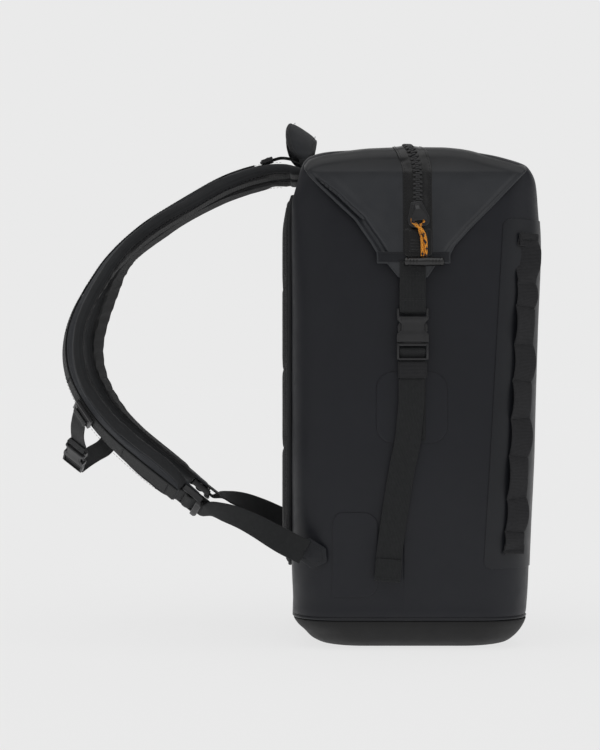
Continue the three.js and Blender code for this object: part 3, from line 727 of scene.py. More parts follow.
def mat_oxford(name, rgb, k=0.8, pitch=0.9, rough=0.7, spec=0.25, sheen=0.1):
    """Plain-woven strap fabric."""
    t = NT(name)
    lx = t.xyz(t.lay())
    u = t.math("DIVIDE", lx[0], pitch * 0.001)
    v = t.math("DIVIDE", lx[1], pitch * 0.001)
    par = t.math("MODULO", t.math("ABSOLUTE", t.math("ADD", t.math("FLOOR", u), t.math("FLOOR", v))), 2.0)
    su = t.math("ABSOLUTE", t.math("SINE", t.math("MULTIPLY", u, math.pi)))
    sv = t.math("ABSOLUTE", t.math("SINE", t.math("MULTIPLY", v, math.pi)))
    h = t.math("ADD", t.math("MULTIPLY", par, su), t.math("MULTIPLY", t.math("SUBTRACT", 1.0, par), sv))
    fuzz = t.noise(t.obj(), 1500, 3, 0.7)
    tone = t.noise(t.obj(), 60, 3, 0.55)
    # painted shade and painted highlight: the colour follows the weave height, darker in the valleys and lighter on the
    # ridges
    col = t.mix(t.ramp(h, 0.1, 1.0, 0, 1), lin(*rgb, k * 0.6), lin(*[c + 3 for c in rgb], k * 1.15))
    col = t.mix(t.ramp(tone, 0.35, 0.7, 0, 0.3), col, lin(*[c + 9 for c in rgb], k * 1.1))
    return t.done(col, t.ramp(fuzz, 0.2, 0.8, rough - 0.08, rough + 0.1),
                  t.bump(t.math("ADD", h, t.math("MULTIPLY", fuzz, 0.4)), 0.45, 0.00025), spec=spec, sheen=sheen, sheen_rough=0.4)


def mat_mesh(name, rgb, k=0.7, pitch=2.6):
    """Spacer mesh: staggered round holes in a knitted face."""
    t = NT(name)
    lx = t.xyz(t.lay())
    u = t.math("DIVIDE", lx[0], pitch * 0.001)
    v = t.math("DIVIDE", lx[1], pitch * 0.00087)
    row = t.math("MODULO", t.math("ABSOLUTE", t.math("FLOOR", v)), 2.0)
    fu = t.math("SUBTRACT", t.math("FRACT", t.math("ADD", u, t.math("MULTIPLY", row, 0.5))), 0.5)
    fv = t.math("SUBTRACT", t.math("FRACT", v), 0.5)
    r = t.math("SQRT", t.math("ADD", t.math("MULTIPLY", fu, fu), t.math("MULTIPLY", t.math("MULTIPLY", fv, fv), 0.8)))
    hole = t.ramp(r, 0.20, 0.34, 0, 1)
    knit = t.noise(t.obj(), 1300, 3, 0.7)
    h = t.math("ADD", hole, t.math("MULTIPLY", knit, 0.3))
    # painted shade: the holes are coloured near black for the shade that falls into them
    col = t.mix(hole, lin(*rgb, k * 0.25), lin(*[c + 4 for c in rgb], k * 1.1))
    return t.done(col, t.ramp(knit, 0.2, 0.8, 0.72, 0.95), t.bump(h, 0.8, 0.0007), spec=0.15, sheen=0.08, sheen_rough=0.5)


def mat_plastic(name, rgb, k=0.7, rough=0.38, spec=0.5, grain=0.12):
    """Moulded acetal: fine spark-eroded grain, with scuffs."""
    t = NT(name)
    o = t.obj()
    grainy = t.noise(o, 1900, 3, 0.7)
    scuff = t.noise(t.vmath("MULTIPLY", o, (1, 1, 6)), 260, 5, 0.65, 0.4)
    tone = t.noise(o, 120, 2, 0.5)
    col = t.mix(t.ramp(tone, 0.3, 0.7, 0, 1), lin(*rgb, k * 0.92), lin(*[c + 3 for c in rgb], k * 1.08))
    col = t.mix(t.ramp(scuff, 0.6, 0.78, 0, 0.3), col, lin(*[c + 16 for c in rgb], k * 1.2))
    rg = t.ramp(scuff, 0.35, 0.75, rough - 0.05, rough + 0.14)
    return t.done(col, rg, t.bump(grainy, grain, 0.00012), spec=spec)


def mat_foam(name, rgb, k=0.8):
    """Moulded foam base: pebbled matte skin."""
    t = NT(name)
    o = t.obj()
    peb = t.voronoi(o, 900)
    fine = t.noise(o, 2600, 3, 0.7)
    wear = t.noise(o, 55, 5, 0.65)
    lowz = t.ramp(t.xyz(o)[2], 0.0, 0.012, 1, 0)
    col = t.mix(t.ramp(wear, 0.35, 0.7, 0, 1), lin(*rgb, k * 0.9), lin(*[c + 4 for c in rgb], k * 1.12))
    col = t.mix(t.math("MULTIPLY", lowz, t.ramp(wear, 0.4, 0.7, 0, 0.5)), col, lin(*[c + 14 for c in rgb], k * 1.2))
    h = t.math("ADD", t.math("MULTIPLY", peb, 1.0), t.math("MULTIPLY", fine, 0.4))
    return t.done(col, t.ramp(wear, 0.25, 0.8, 0.56, 0.76), t.bump(h, 0.22, 0.0003), spec=0.32)


def mat_rubber(name, rgb, k=0.6, rough=0.22):
    """Glossy rubber-coated tape."""
    t = NT(name)
    o = t.obj()
    n1 = t.noise(o, 60, 3, 0.5)
    n2 = t.noise(o, 900, 3, 0.7)
    col = t.mix(t.ramp(n1, 0.3, 0.7, 0, 1), lin(*rgb, k * 0.9), lin(*[c + 3 for c in rgb], k * 1.1))
    nrm = t.bump(n1, 0.12, 0.002)
    return t.done(col, t.ramp(n2, 0.25, 0.8, rough - 0.05, rough + 0.1), t.bump(n2, 0.08, 0.0001, nrm), spec=0.5)


def mat_cord(name):
    """Braided cord, orange with dark blue flecks. lay: turns round it, distance along it."""
    t = NT(name)
    lx = t.xyz(t.lay())
    ring, s = lx[0], t.math("DIVIDE", lx[1], 0.0042)
    a = t.math("MULTIPLY", ring, 4.0)
    d1 = t.math("ABSOLUTE", t.math("SINE", t.math("MULTIPLY", t.math("ADD", a, s), math.pi)))
    d2 = t.math("ABSOLUTE", t.math("SINE", t.math("MULTIPLY", t.math("SUBTRACT", a, s), math.pi)))
    braid = t.math("MAXIMUM", d1, d2)
    c1 = t.math("FLOOR", t.math("ADD", a, s))
    c2 = t.math("FLOOR", t.math("SUBTRACT", a, s))
    comb = t.n.new("ShaderNodeCombineXYZ")
    t.put(comb.inputs[0], c1)
    t.put(comb.inputs[1], c2)
    wn = t.n.new("ShaderNodeTexWhiteNoise")
    wn.noise_dimensions = "3D"
    t.put(wn.inputs["Vector"], comb.outputs[0])
    fleck = t.ramp(wn.outputs["Value"], 0.74, 0.78, 0, 1)
    fib = t.noise(t.obj(), 4000, 2, 0.6)
    orange = t.mix(fib, lin(232, 140, 30, 0.85), lin(246, 170, 60, 0.95))
    col = t.mix(fleck, orange, lin(22, 28, 48, 0.8))
    # painted shade: dark brown in the grooves between the braided strands
    col = t.mix(t.ramp(braid, 0.45, 0.7, 0.75, 0), col, lin(60, 34, 12, 0.6))
    return t.done(col, 0.6, t.bump(t.math("ADD", braid, t.math("MULTIPLY", fib, 0.3)), 0.6, 0.0003), spec=0.3, sheen=0.1)


M_BODY = mat_coated("coated_fabric", (40, 42, 51), k=0.385, spec=0.34)
# painted light: the roof and wings take a lighter copy of the body's coated fabric, standing in for the overhead light
# on their upward tilt; top adds painted shade over the roof
M_WING = mat_coated("coated_fabric_wing", (50, 52, 56), k=0.80, rough=0.40, top=(0.462, 0.480, 0.34))
M_PATCH = mat_coated("weld_patch", (42, 44, 50), k=0.44, rough=0.40, spec=0.34)
M_WEB = mat_webbing("webbing", (39, 40, 41))
M_WEBR = mat_webbing("webbing_ribbed", (42, 42, 44), rib=1.6, cross=0.85, stagger=0.08)
M_STRAP = mat_oxford("strap_fabric", (56, 58, 62), k=0.72)
M_HANDLE = mat_oxford("handle_fabric", (56, 58, 62), k=0.53)
M_BIND = mat_oxford("binding", (44, 45, 47), k=0.7, pitch=0.6)
M_MESH = mat_mesh("spacer_mesh", (34, 34, 36))
M_PLASTIC = mat_plastic("moulded_plastic", (40, 40, 42))
M_TEETH = mat_plastic("zip_teeth", (38, 38, 40), rough=0.32)
M_FOAM = mat_foam("base_foam", (40, 40, 41), k=0.37)
M_TOGGLE = mat_plastic("toggle_plastic", (32, 32, 33), k=0.3, rough=0.2, spec=0.6, grain=0.03)
M_TAPE = mat_rubber("zip_rubber", (34, 34, 35))
M_CORD = mat_cord("cord_braid")
M_THREAD = mat_plastic("thread", (52, 53, 55), k=0.7, rough=0.6, spec=0.3)

# =====================================================================  zip pull cord
CORD = [[8.8, -171.6, 386.4], [8.8, -171.4, 394], [8.5, -170.9, 402], [7.2, -170.0, 409], [5.9, -168.9, 414.6], [8.2, -168.4, 418.0],
        [10.9, -168.0, 420.4], [10.2, -167.6, 423.3], [7.4, -167.6, 424.2], [5, -167.6, 424.3], [2.6, -167.6, 424.2], [-0.3, -167.8, 423.4],
        [-0.6, -168.6, 420.6], [2.2, -171.1, 417.0], [6.2, -172.6, 413.8], [9.6, -173.0, 409.4], [11.8, -172.8, 402], [12.2, -171.9, 394], [12.2, -171.6, 386.4]]


def braided(name, pts, r, mat):
    P, s = resample(catmull(pts, 700), 0.3)
    T = unit(np.gradient(P, axis=0))
    Wd = unit(np.cross(T[0], A([1.0, 0, 0])))
    K = 20
    R, lay = [], []
    for i in range(len(P)):
        Wd = unit(Wd - np.dot(Wd, T[i]) * T[i])
        N = np.cross(Wd, T[i])
        a = np.linspace(0, 2 * math.pi, K, endpoint=False)
        tr = a / (2 * math.pi)
        ridge = np.maximum(np.abs(np.sin(math.pi * (4 * tr + s[i] / 4.2))), np.abs(np.sin(math.pi * (4 * tr - s[i] / 4.2))))
        rr = r * (0.93 + 0.11 * ridge)
        R.append(P[i] + (rr * np.cos(a))[:, None] * Wd + (rr * np.sin(a))[:, None] * N)
        lay.append(np.c_[tr, np.full(K, s[i] * MM), np.zeros(K)])
    V, F = loops(A(R))
    ob = mesh(name, V, F, mat, lay=np.vstack(lay))
    return ob, P, s[-1]


cord_ob, CORD_PATH, CORD_LEN = braided("zip_pull_cord_braid", CORD, 1.6, M_CORD)
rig.ride(cord_ob, "zip_pull")
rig.replaces(cord_ob, "zip_pull_cord")
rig.slot(cord_ob, "cord")

# =====================================================================  shape of the bag
def pchip(x, y, q):
    x, y, q = A(x), A(y), np.clip(A(q), x[0], x[-1])
    h = np.diff(x)
    d = np.diff(y) / h
    m = np.zeros(len(x))
    m[0], m[-1] = d[0], d[-1]
    for i in range(1, len(x) - 1):
        m[i] = 0 if d[i - 1] * d[i] <= 0 else 2 * d[i - 1] * d[i] / (d[i - 1] + d[i])
    i = np.clip(np.searchsorted(x, q, "right") - 1, 0, len(x) - 2)
    t = (q - x[i]) / h[i]
    return ((2 * t ** 3 - 3 * t ** 2 + 1) * y[i] + (t ** 3 - 2 * t ** 2 + t) * h[i] * m[i]
            + (-2 * t ** 3 + 3 * t ** 2) * y[i + 1] + (t ** 3 - t ** 2) * h[i] * m[i + 1])


LEVELS = A([[28.4, -116, 115.4, 145.5, 47], [50, -117, 118, 147.5, 48], [100, -118.5, 119.5, 151, 48],
            [200, -118.5, 123.5, 155, 48], [300, -118.5, 127, 155, 48], [400, -118.5, 130, 154.5, 46],
            [440, -117.8, 127.3, 152, 38], [461, -113, 124, 149.5, 27], [477, -108.5, 114.5, 146, 15],
            [486, -102.5, 91, 141, 13], [491.5, -88, 66, 136, 13], [494.5, -60, 47, 126, 14]])
WAVES = [(RNG.normal(size=3), RNG.uniform(0, 6.28), w) for w in (70, 85, 100, 120, 140, 160, 190, 220, 260, 300)]


def relief(q):
    """Soft undulation of the fabric, outward, in mm."""
    q = A(q)
    out = np.zeros(q.shape[:-1])
    for d, ph, w in WAVES:
        k = d / np.linalg.norm(d) * 2 * math.pi / w
        out += np.sin(q @ k + ph) * (w / 200) ** 0.8
    return out * 0.17


def level_at(z):
    return [pchip(LEVELS[:, 0], LEVELS[:, k], z) for k in (1, 2, 3, 4)]


def wall(side, l, z, off=0.0):
    """Point on the outside of the tube. l runs from the middle of the side (x = 0) round the corners. side is -1 near, 1 far."""
    l, z = np.broadcast_arrays(A(l), A(z))
    xb, xf, yw, r = level_at(z)
    out = np.zeros(l.shape + (3,))
    nrm = np.zeros(l.shape + (3,))
    f0, f1 = xf - r, xf - r + r * math.pi / 2
    b0, b1 = -(xb + r), -(xb + r) + r * math.pi / 2
    af = np.clip((l - f0) / r, 0, math.pi / 2)
    ab = np.clip((-l - b0) / r, 0, math.pi / 2)
    front, back = l > f0, -l > b0
    x = np.where(front, f0 + r * np.sin(af), np.where(back, -(b0 + r * np.sin(ab)), l))
    y = np.where(front, yw - r + r * np.cos(af) - np.maximum(l - f1, 0), np.where(back, yw - r + r * np.cos(ab) - np.maximum(-l - b1, 0), yw))
    nx = np.where(front, np.sin(af), np.where(back, -np.sin(ab), 0))
    ny = np.where(front, np.cos(af), np.where(back, np.cos(ab), 1))
    base = np.stack([x, side * y, z * 1.0], -1)
    nrm = np.stack([nx, side * ny, 0 * nx], -1)
    d = relief(base) * smooth((z - 29) / 20) * (1 - smooth((z - 440) / 30))
    d = d - 1.3 * np.exp(-(((z - 28.4) / 3.0) ** 2)) + 0.5 * np.exp(-(((z - 36) / 6.0) ** 2))
    seam = np.abs(base[..., 0] + 8.0)
    d = d + 0.45 * smooth((base[..., 0] + 8.6) / 1.0) * np.exp(-np.maximum(base[..., 0] + 8, 0) / 9) * (np.abs(ny) > 0.99)
    return base + nrm * (d + off)[..., None], nrm


def ring_l():
    """Meant for positions round half the tube, from the middle of the back to the middle of the front, along one side;
    it returns nothing.
    """
    return None


def tube_skin():
    zs = np.r_[np.linspace(26.5, 44, 15), np.linspace(47, 436, 120), np.linspace(440, 494.5, 50)]
    rows, lays = [], []
    xs_fine = [-11, -9.6, -9.0, -8.6, -8.2, -7.8, -7.4, -6.4, -5]
    for z in zs:
        xb, xf, yw, r = (float(v) for v in level_at(z))
        f0, b0 = xf - r, -(xb + r)
        q = math.pi / 2
        ls_f = np.r_[f0 + r * q * np.linspace(0, 1, 15), f0 + r * q + (yw - r) * np.linspace(0, 1, 22)[1:]]
        ls_b = -np.r_[b0 + r * q * np.linspace(0, 1, 15), b0 + r * q + (yw - r) * np.linspace(0, 1, 22)[1:]]
        mid = np.r_[np.linspace(-b0, -12, 22)[1:], xs_fine, np.linspace(-4, f0, 30)[:-1]]
        half = np.r_[ls_b[::-1], mid, ls_f]
        P1, _ = wall(-1, half, np.full(len(half), z))
        P2, _ = wall(1, half[::-1], np.full(len(half), z))
        ring = np.vstack([P1, P2[1:-1]])
        rows.append(ring)
        lays.append(np.c_[np.r_[half, 700 - half[::-1][1:-1]], np.full(len(ring), z), np.zeros(len(ring))])
    top = rows[-1]
    c = top.mean(0)
    for k, dz in ((0.8, 0.7), (0.5, 1.1), (0.2, 1.3)):
        rows.append(np.c_[(c + (top - c) * k)[:, :2], top[:, 2] + dz])
        lays.append(lays[-1])
    V, F = loops(A(rows))
    return mesh("bag_skin", V, F, M_BODY, lay=np.vstack(lays) * MM)


skin = tube_skin()
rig.ride(skin, "bag")
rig.slot(skin, "coated_fabric")

ROOF = A([[-108, 475.5], [-105, 479.8], [-101, 484.4], [-93, 488.2], [-85, 490.2], [-67, 492.7], [-40, 495.8], [0, 497.0], [30, 496.8], [45, 495.6], [56, 493.9], [73, 489.3], [90, 485.0], [102, 481.6], [110, 479.0], [114, 476]])
OUT_L = A([[381, -34], [391, -34], [401, -40], [424, -56], [440, -73], [457, -90], [474, -106], [500, -106]])
OUT_R = A([[381, 36], [389, 36], [397, 40], [417, 58], [439, 80], [473, 112], [500, 113]])


def wing_y(z):
    return np.where(z < 470, 164 - (z - 383) * (10.5 / 87), 153.5 - (z - 470) * 0.36)


def sheet_point(x, q):
    """q: 0..1 up the wing, 1..2 over the rolled edge, 2..3 across the roof to the middle. Near side."""
    x, q = np.broadcast_arrays(A(x), A(q))
    rz = pchip(ROOF[:, 0], ROOF[:, 1], x)
    R = 13.5
    zr = rz - R
    z = 381 + np.clip(q, 0, 1) * (zr - 381)
    y = wing_y(z)
    # the back edge of the wing stands off the side, and the front edge lies close to it
    low = 1 - smooth((z - 430) / 40)
    y = y + low * (1.8 * smooth((-x - 22) / 30) - 3.6 * smooth((x - 22) / 34))
    y = y + 1.5 * smooth((x - 12) / 18) * (1 - smooth((x - 44) / 30)) * np.exp(-(((z - 447) / 26) ** 2))
    y = y + 0.9 * smooth((-x - 22) / 16) * (1 - smooth((-x - 54) / 30)) * np.exp(-(((z - 452) / 22) ** 2))
    # the fabric dips just inside each diagonal fold
    dl = (x - np.interp(z, OUT_L[:, 0], OUT_L[:, 1])) * 0.70
    dr = (np.interp(z, OUT_R[:, 0], OUT_R[:, 1]) - x) * 0.70
    fade = smooth((z - 384) / 10) * (1 - smooth((z - 452) / 26)) * (q <= 1.0)
    wide = 0.35 + 0.65 * smooth((477 - z) / 34)
    y = y - fade * 3.6 * np.exp(-(np.abs(dl - 3.9 * wide) / (2.6 * wide)) ** 3) - fade * 1.5 * np.exp(-((dr - 3.0) / 1.6) ** 2)
    y = y + fade * 0.7 * np.exp(-((dl - 11.5) / 4.0) ** 2)
    ang = np.clip(q - 1, 0, 1) * math.pi / 2
    yt = wing_y(zr)
    y = np.where(q > 1, yt - R * 1.55 * (1 - np.cos(ang)) - 0.36 * R * np.sin(ang) * 0.4, y)
    z = np.where(q > 1, zr + R * np.sin(ang), z)
    y = np.where(q > 2, (yt - R * 1.55 - 0.144 * R) * (3 - q), y)
    soft = np.sin(x * 0.047 + 1.1) * np.sin(y * 0.036 + 0.4) * 0.5
    z = z + np.where(q > 2, soft * smooth((q - 2) * 6), 0) * (np.abs(x) < 200)
    return np.stack([x, -y, z], -1)


def side_limit(q, table, lo, hi):
    """The x where the sheet's own height meets the wing's outline."""
    xs = np.linspace(lo, hi, 400)
    z = sheet_point(xs, np.full(400, q))[:, 2]
    edge = np.interp(z, table[:, 0], table[:, 1])
    diff = xs - edge
    if hi < 0:
        ok = np.where(diff >= 0)[0]
        return xs[ok[0]] if len(ok) else lo
    ok = np.where(diff <= 0)[0]
    return xs[ok[-1]] if len(ok) else hi


def slab(name, P, t, mats, lay, up=None, rim=3, fmat=None, taper_rows=(True, True)):
    """A sheet with thickness and rounded edges from a grid P[rows, cols, 3] (outer face)."""
    P = A(P)
    L, K = P.shape[:2]
    du = np.gradient(P, axis=1)
    dv = np.gradient(P, axis=0)
    N = unit(np.cross(du, dv))
    if up is not None:
        s = np.sign((N * up(P)).sum(-1))
        N = N * s[..., None]
    t = np.broadcast_to(t, (L,)) if np.ndim(t) < 2 else t
    tt = t[:, None] if t.ndim == 1 else t
    U = unit(du)
    I = P - N * tt[..., None]
    a = np.linspace(0, math.pi, rim + 2)[1:-1]
    rows, lays = [], []
    Vd = unit(dv)

    def row(j, k=1.0, shift=0.0):
        mid = P[j] - N[j] * (tt[j] / 2)[..., None] if tt.shape[1] > 1 else P[j] - N[j] * tt[j] / 2
        th = (tt[j] if tt.shape[1] > 1 else np.full(K, tt[j][0])) / 2
        mid = mid + Vd[j] * shift
        o = mid + N[j] * (th * k)[:, None]
        i = mid - N[j] * (th * k)[:, None]
        r1 = [mid[-1] + U[j, -1] * th[-1] * math.sin(x) * k + N[j, -1] * th[-1] * k * math.cos(x) for x in a]
        r0 = [mid[0] - U[j, 0] * th[0] * math.sin(x) * k - N[j, 0] * th[0] * k * math.cos(x) for x in a]
        rows.append(np.vstack([o, r1, i[::-1], r0]))
        l = lay[j]
        lays.append(np.vstack([l, np.tile(l[-1], (rim, 1)), l[::-1], np.tile(l[0], (rim, 1))]))

    h0 = float(np.mean(tt[0])) / 2
    h1 = float(np.mean(tt[-1])) / 2
    for c in (72, 40):
        row(0, math.cos(math.radians(c)), -h0 * math.sin(math.radians(c)))
    for j in range(L):
        row(j)
    for c in (40, 72):
        row(L - 1, math.cos(math.radians(c)), h1 * math.sin(math.radians(c)))
    V, F = loops(A(rows))
    return mesh(name, V, F, mats, lay=np.vstack(lays) * MM)


def roof_sheet():
    qs = np.r_[np.linspace(0, 1, 84), 1 + np.linspace(0, 1, 20)[1:], 2 + np.linspace(0, 1, 30)[1:] ** 1.0]
    nx = 150
    u = np.linspace(0, 1, nx)
    rows, lays = [], []
    s = 0
    for q in qs:
        xl, xr = side_limit(q, OUT_L, -108, -20), side_limit(q, OUT_R, 20, 114)
        x = xl + (xr - xl) * u
        rows.append(sheet_point(x, np.full(nx, q)))
    near = A(rows)
    far = near[::-1][1:] * A([1, -1, 1])
    P = np.concatenate([near, far])
    d = np.r_[0, np.cumsum(np.linalg.norm(np.diff(P[:, nx // 2], axis=0), axis=1))]
    lay = np.stack([P[..., 0], np.broadcast_to(d[:, None], P.shape[:2]), np.zeros(P.shape[:2])], -1)
    L = len(P)
    qq = np.r_[qs, qs[::-1][1:]]
    t = np.where(qq < 1, 2.6, np.where(qq < 2, 2.6 - 1.4 * smooth(qq - 1), 1.2))
    # the sheet takes the lighter copy of the coated fabric, which is painted light
    return slab("roof_and_wings", P, t, M_WING, lay, up=lambda p: np.stack([0 * p[..., 0], p[..., 1] * 0.6, p[..., 2] - 300], -1)), d[-1]


roof, ROOF_LEN = roof_sheet()
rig.ride(roof, "bag")
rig.replaces(roof, "front_shell", "back_shell")
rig.slot(roof, "coated_fabric")


# =====================================================================  base cup
def base_cup():
    out = A([[0, -80, 85, 108, 36], [0.35, -84, 89.6, 111.5, 38], [1.2, -88, 94.6, 115.6, 40], [2.6, -91.6, 99.4, 119.4, 42.5], [7, -98.5, 105, 128, 46],
             [15, -105.6, 111.2, 137, 47], [21, -111.6, 114.2, 142.2, 47], [24, -113.8, 115.4, 144.4, 47], [26.6, -115.4, 116.2, 145.8, 47], [28.0, -116.1, 116.6, 146.3, 47], [28.7, -116.0, 116.5, 146.2, 47]])
    zs = np.r_[0, 0.15, 0.35, 0.7, 1.2, 1.9, 2.6, np.linspace(3.6, 26.6, 30), 27.2, 27.7, 28.1, 28.5, 28.7]
    rows, lays = [], []

    def ringat(v, z, off=0.0):
        xb, xf, yw, r = v
        pts = []
        for cx, cy, a0 in ((xf - r, yw - r, 0), (xb + r, yw - r, 1), (xb + r, -yw + r, 2), (xf - r, -yw + r, 3)):
            for k in range(17):
                a = (a0 + k / 16) * math.pi / 2
                pts.append([cx + (r + off) * math.cos(a), cy + (r + off) * math.sin(a), z])
            nxt = {0: (xb + r, yw + off, 1), 1: (xb - off, -yw + r, 0), 2: (xf - r, -yw - off, 1), 3: (xf + off, yw - r, 0)}[a0]
            last = pts[-1]
            for k in range(1, 16):
                w = k / 16
                pts.append([last[0] + (nxt[0] - last[0]) * w, last[1] + (nxt[1] - last[1]) * w, z])
        return A(pts)

    for z in zs:
        rows.append(ringat([pchip(out[:, 0], out[:, k], z) for k in (1, 2, 3, 4)], z))
    lip = [pchip(out[:, 0], out[:, k], 28.7) for k in (1, 2, 3, 4)]
    rows.append(ringat(lip, 28.9, -0.5))
    rows.append(ringat(lip, 28.6, -1.6))
    rows.append(ringat(lip, 26.0, -2.2))
    rows = A(rows)
    V, F = loops(rows)
    lay = rows.reshape(-1, 3) * MM
    ob = mesh("base_cup_moulding", V, F, M_FOAM, lay=lay, sharp=55)
    bpy.context.view_layer.update()
    return ob


cup = base_cup()
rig.ride(cup, "bag")
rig.replaces(cup, "base_cup")
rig.slot(cup, "base_foam")


# welded band that closes the fabric onto the base
def base_band():
    l = np.r_[np.linspace(-330, 330, 400)]
    segs = []
    for side in (-1, 1):
        z = 28.4
        xb, xf, yw, r = (float(v) for v in level_at(z))
        lf = xf - r + r * math.pi / 2 + (yw - r)
        lb = -xb - r + r * math.pi / 2 + (yw - r)
        ls = np.linspace(-lb, lf, 260)
        zs = A([29.3, 30.2, 31.3, 32.2])
        off = A([0.35, 1.25, 1.25, 0.2])
        P = A([wall(side, ls, np.full(len(ls), zz), oo + 1.0 * math.exp(-(((zz - 28.4) / 3.0) ** 2)))[0] for zz, oo in zip(zs, off)])
        V, F = P.reshape(-1, 3), [tuple(f) for f in grid_faces(4, len(ls), closed=False)]
        segs.append(mesh(f"band{side}", V, F, M_PATCH, lay=np.c_[np.tile(ls, 4), np.repeat(zs, len(ls)), np.zeros(4 * len(ls))] * MM))
    ob = join("base_weld_bead", segs)
    bm = bmesh.new()
    bm.from_mesh(ob.data)
    bmesh.ops.remove_doubles(bm, verts=bm.verts, dist=2e-5)
    bmesh.ops.recalc_face_normals(bm, faces=bm.faces)
    bm.to_mesh(ob.data)
    bm.free()
    return ob


band = base_band()
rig.ride(band, "bag")
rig.slot(band, "weld_patch")


# =====================================================================  welded patches that follow the side
def wall_patch(name, side, zs, l0, l1, t, mat, cols=40, lift=0.3):
    rows, lays = [], []
    for z in zs:
        a, b = l0(z), l1(z)
        ls = np.linspace(a, b, cols)
        P, _ = wall(side, ls, np.full(cols, z), t + lift)
        rows.append(P)
        lays.append(np.c_[ls, np.full(cols, z), np.zeros(cols)])
    return slab(name, rows, t, mat, A(lays), up=lambda p: np.stack([0.2 * p[..., 0], p[..., 1], 0 * p[..., 0]], -1))


def corner_cut(z, z0, z1, r):
    """How far a rounded corner pulls the edge in at height z."""
    d = min(z - z0, z1 - z)
    return r - math.sqrt(max(0.0, r * r - (r - d) ** 2)) if d < r else 0.0


def patch_rows(z0, z1, r, n):
    e = r * (1 - np.cos(np.linspace(0, math.pi / 2, 9)))
    return np.r_[z0 + e, np.linspace(z0 + r, z1 - r, n)[1:-1], z1 - e[::-1]]


for s, tag in ((-1, "near"), (1, "far")):
    r = 16
    p = wall_patch(f"{tag}_side_weld_patch", s, patch_rows(204.6, 273.9, r, 10),
                   lambda z: -34.8 + corner_cut(z, 204.6, 273.9, r), lambda z: 33.6 - corner_cut(z, 204.6, 273.9, r), 0.8, M_BODY, 30)
    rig.ride(p, "bag")
    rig.replaces(p, f"{tag}_side_patch")
    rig.slot(p, "weld_patch")

    def right_end(z):
        xb, xf, yw, rr = (float(v) for v in level_at(z))
        return xf - rr + rr * math.pi / 2 + (yw - rr - 70)

    r2 = 8
    p = wall_patch(f"{tag}_corner_weld_patch", s, patch_rows(81, 424, r2, 60),
                   lambda z: 72 + (z - 112) * 0.0556 + corner_cut(z, 81, 424, r2), lambda z: right_end(z) - corner_cut(z, 81, 424, r2), 0.7, M_PATCH, 64)
    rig.ride(p, "bag")
    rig.replaces(p, f"{tag}_corner_patch")
    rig.slot(p, "weld_patch")
    # lower patch that the strap's corner tab is welded to
    r3 = 14
    p = wall_patch(f"{tag}_lower_weld_patch", s, patch_rows(53, 136, r3, 14),
                   lambda z: -78 + (r3 - math.sqrt(max(0, r3 * r3 - (r3 - (136 - z)) ** 2)) if 136 - z < r3 else 0) * 0.6,
                   lambda z: -33.5 - corner_cut(z, 53, 136, r3), 0.6, M_BODY, 24)
    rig.ride(p, "bag")
    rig.slot(p, "weld_patch")

# =====================================================================  zip: tapes, teeth, garage, slider, toggle
ZC = -4.0


def zip_skew(z):
    u = np.clip((496.5 - A(z)) / 29, 0, 1)
    return 9 * (1 - (1 - u) ** 2)


def roof_line(x, s_list=None):
    """The closure line near x, from the near wing's lower end over the roof to the far wing's, as points and outward normals."""
    qs = np.r_[np.linspace(0, 1, 90), 1 + np.linspace(0, 1, 34)[1:], 2 + np.linspace(0, 1, 90)[1:]]
    P = sheet_point(np.full(len(qs), x), qs)
    sk = zip_skew(P[:, 2])
    P = sheet_point(x + sk, qs)
    P = np.vstack([P, P[::-1][1:] * A([1, -1, 1])])
    P, s = resample(P, 1.0)
    T = unit(np.gradient(P, axis=0))
    X = np.tile(A([1.0, 0, 0]), (len(P), 1))
    X = unit(X - (X * T).sum(1, keepdims=True) * T)
    N = np.cross(X, T)
    return P, s, T, X, N


ZP, ZS, ZT, ZX, ZN = roof_line(ZC)
if (ZN[len(ZN) // 2][2]) < 0:
    ZN = -ZN


def at_len(s):
    f = lambda M: np.array([np.interp(s, ZS, M[:, k]) for k in range(3)])
    return f(ZP), unit(f(ZT)), unit(f(ZX)), unit(f(ZN))


def s_of_z(z, near=True):
    half = len(ZP) // 2
    if near:
        return float(np.interp(z, ZP[:half, 2], ZS[:half]))
    return float(np.interp(-z, -ZP[half:, 2], ZS[half:]))


S_NEAR, S_FAR = s_of_z(383.5), s_of_z(383.5, False)


def zip_tape(name, u0, u1):
    s = np.r_[np.arange(S_NEAR, S_FAR, 2.0), S_FAR]
    us = np.linspace(u0, u1, 12)
    rows, lay = [], []
    for q in s:
        p, t, x, n = at_len(q)
        # the tape is arched a little towards the teeth, and its outer edge is stitched down flat
        d = np.abs(us)
        h = 0.55 + 0.9 * smooth((11.5 - d) / 7.0) + 0.16 * np.sin(q * 0.33 + us * 0.1) * smooth((12 - d) / 4)
        rows.append(p + np.outer(us, x) + np.outer(h, n))
        lay.append(np.c_[us, np.full(12, q), np.zeros(12)])
    return slab(name, rows, 0.9, M_TAPE, A(lay), up=lambda p: np.stack([0 * p[..., 0], p[..., 1] * 0.6, p[..., 2] - 300], -1))


tape_b = zip_tape("zip_tape_back_half", -14.0, -0.4)
tape_f = zip_tape("zip_tape_front_half", 0.4, 14.0)
for o, nd in ((tape_b, "zipper_tape_back"), (tape_f, "zipper_tape_front")):
    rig.ride(o, "bag")
    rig.replaces(o, nd)
    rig.slot(o, "zip_rubber")


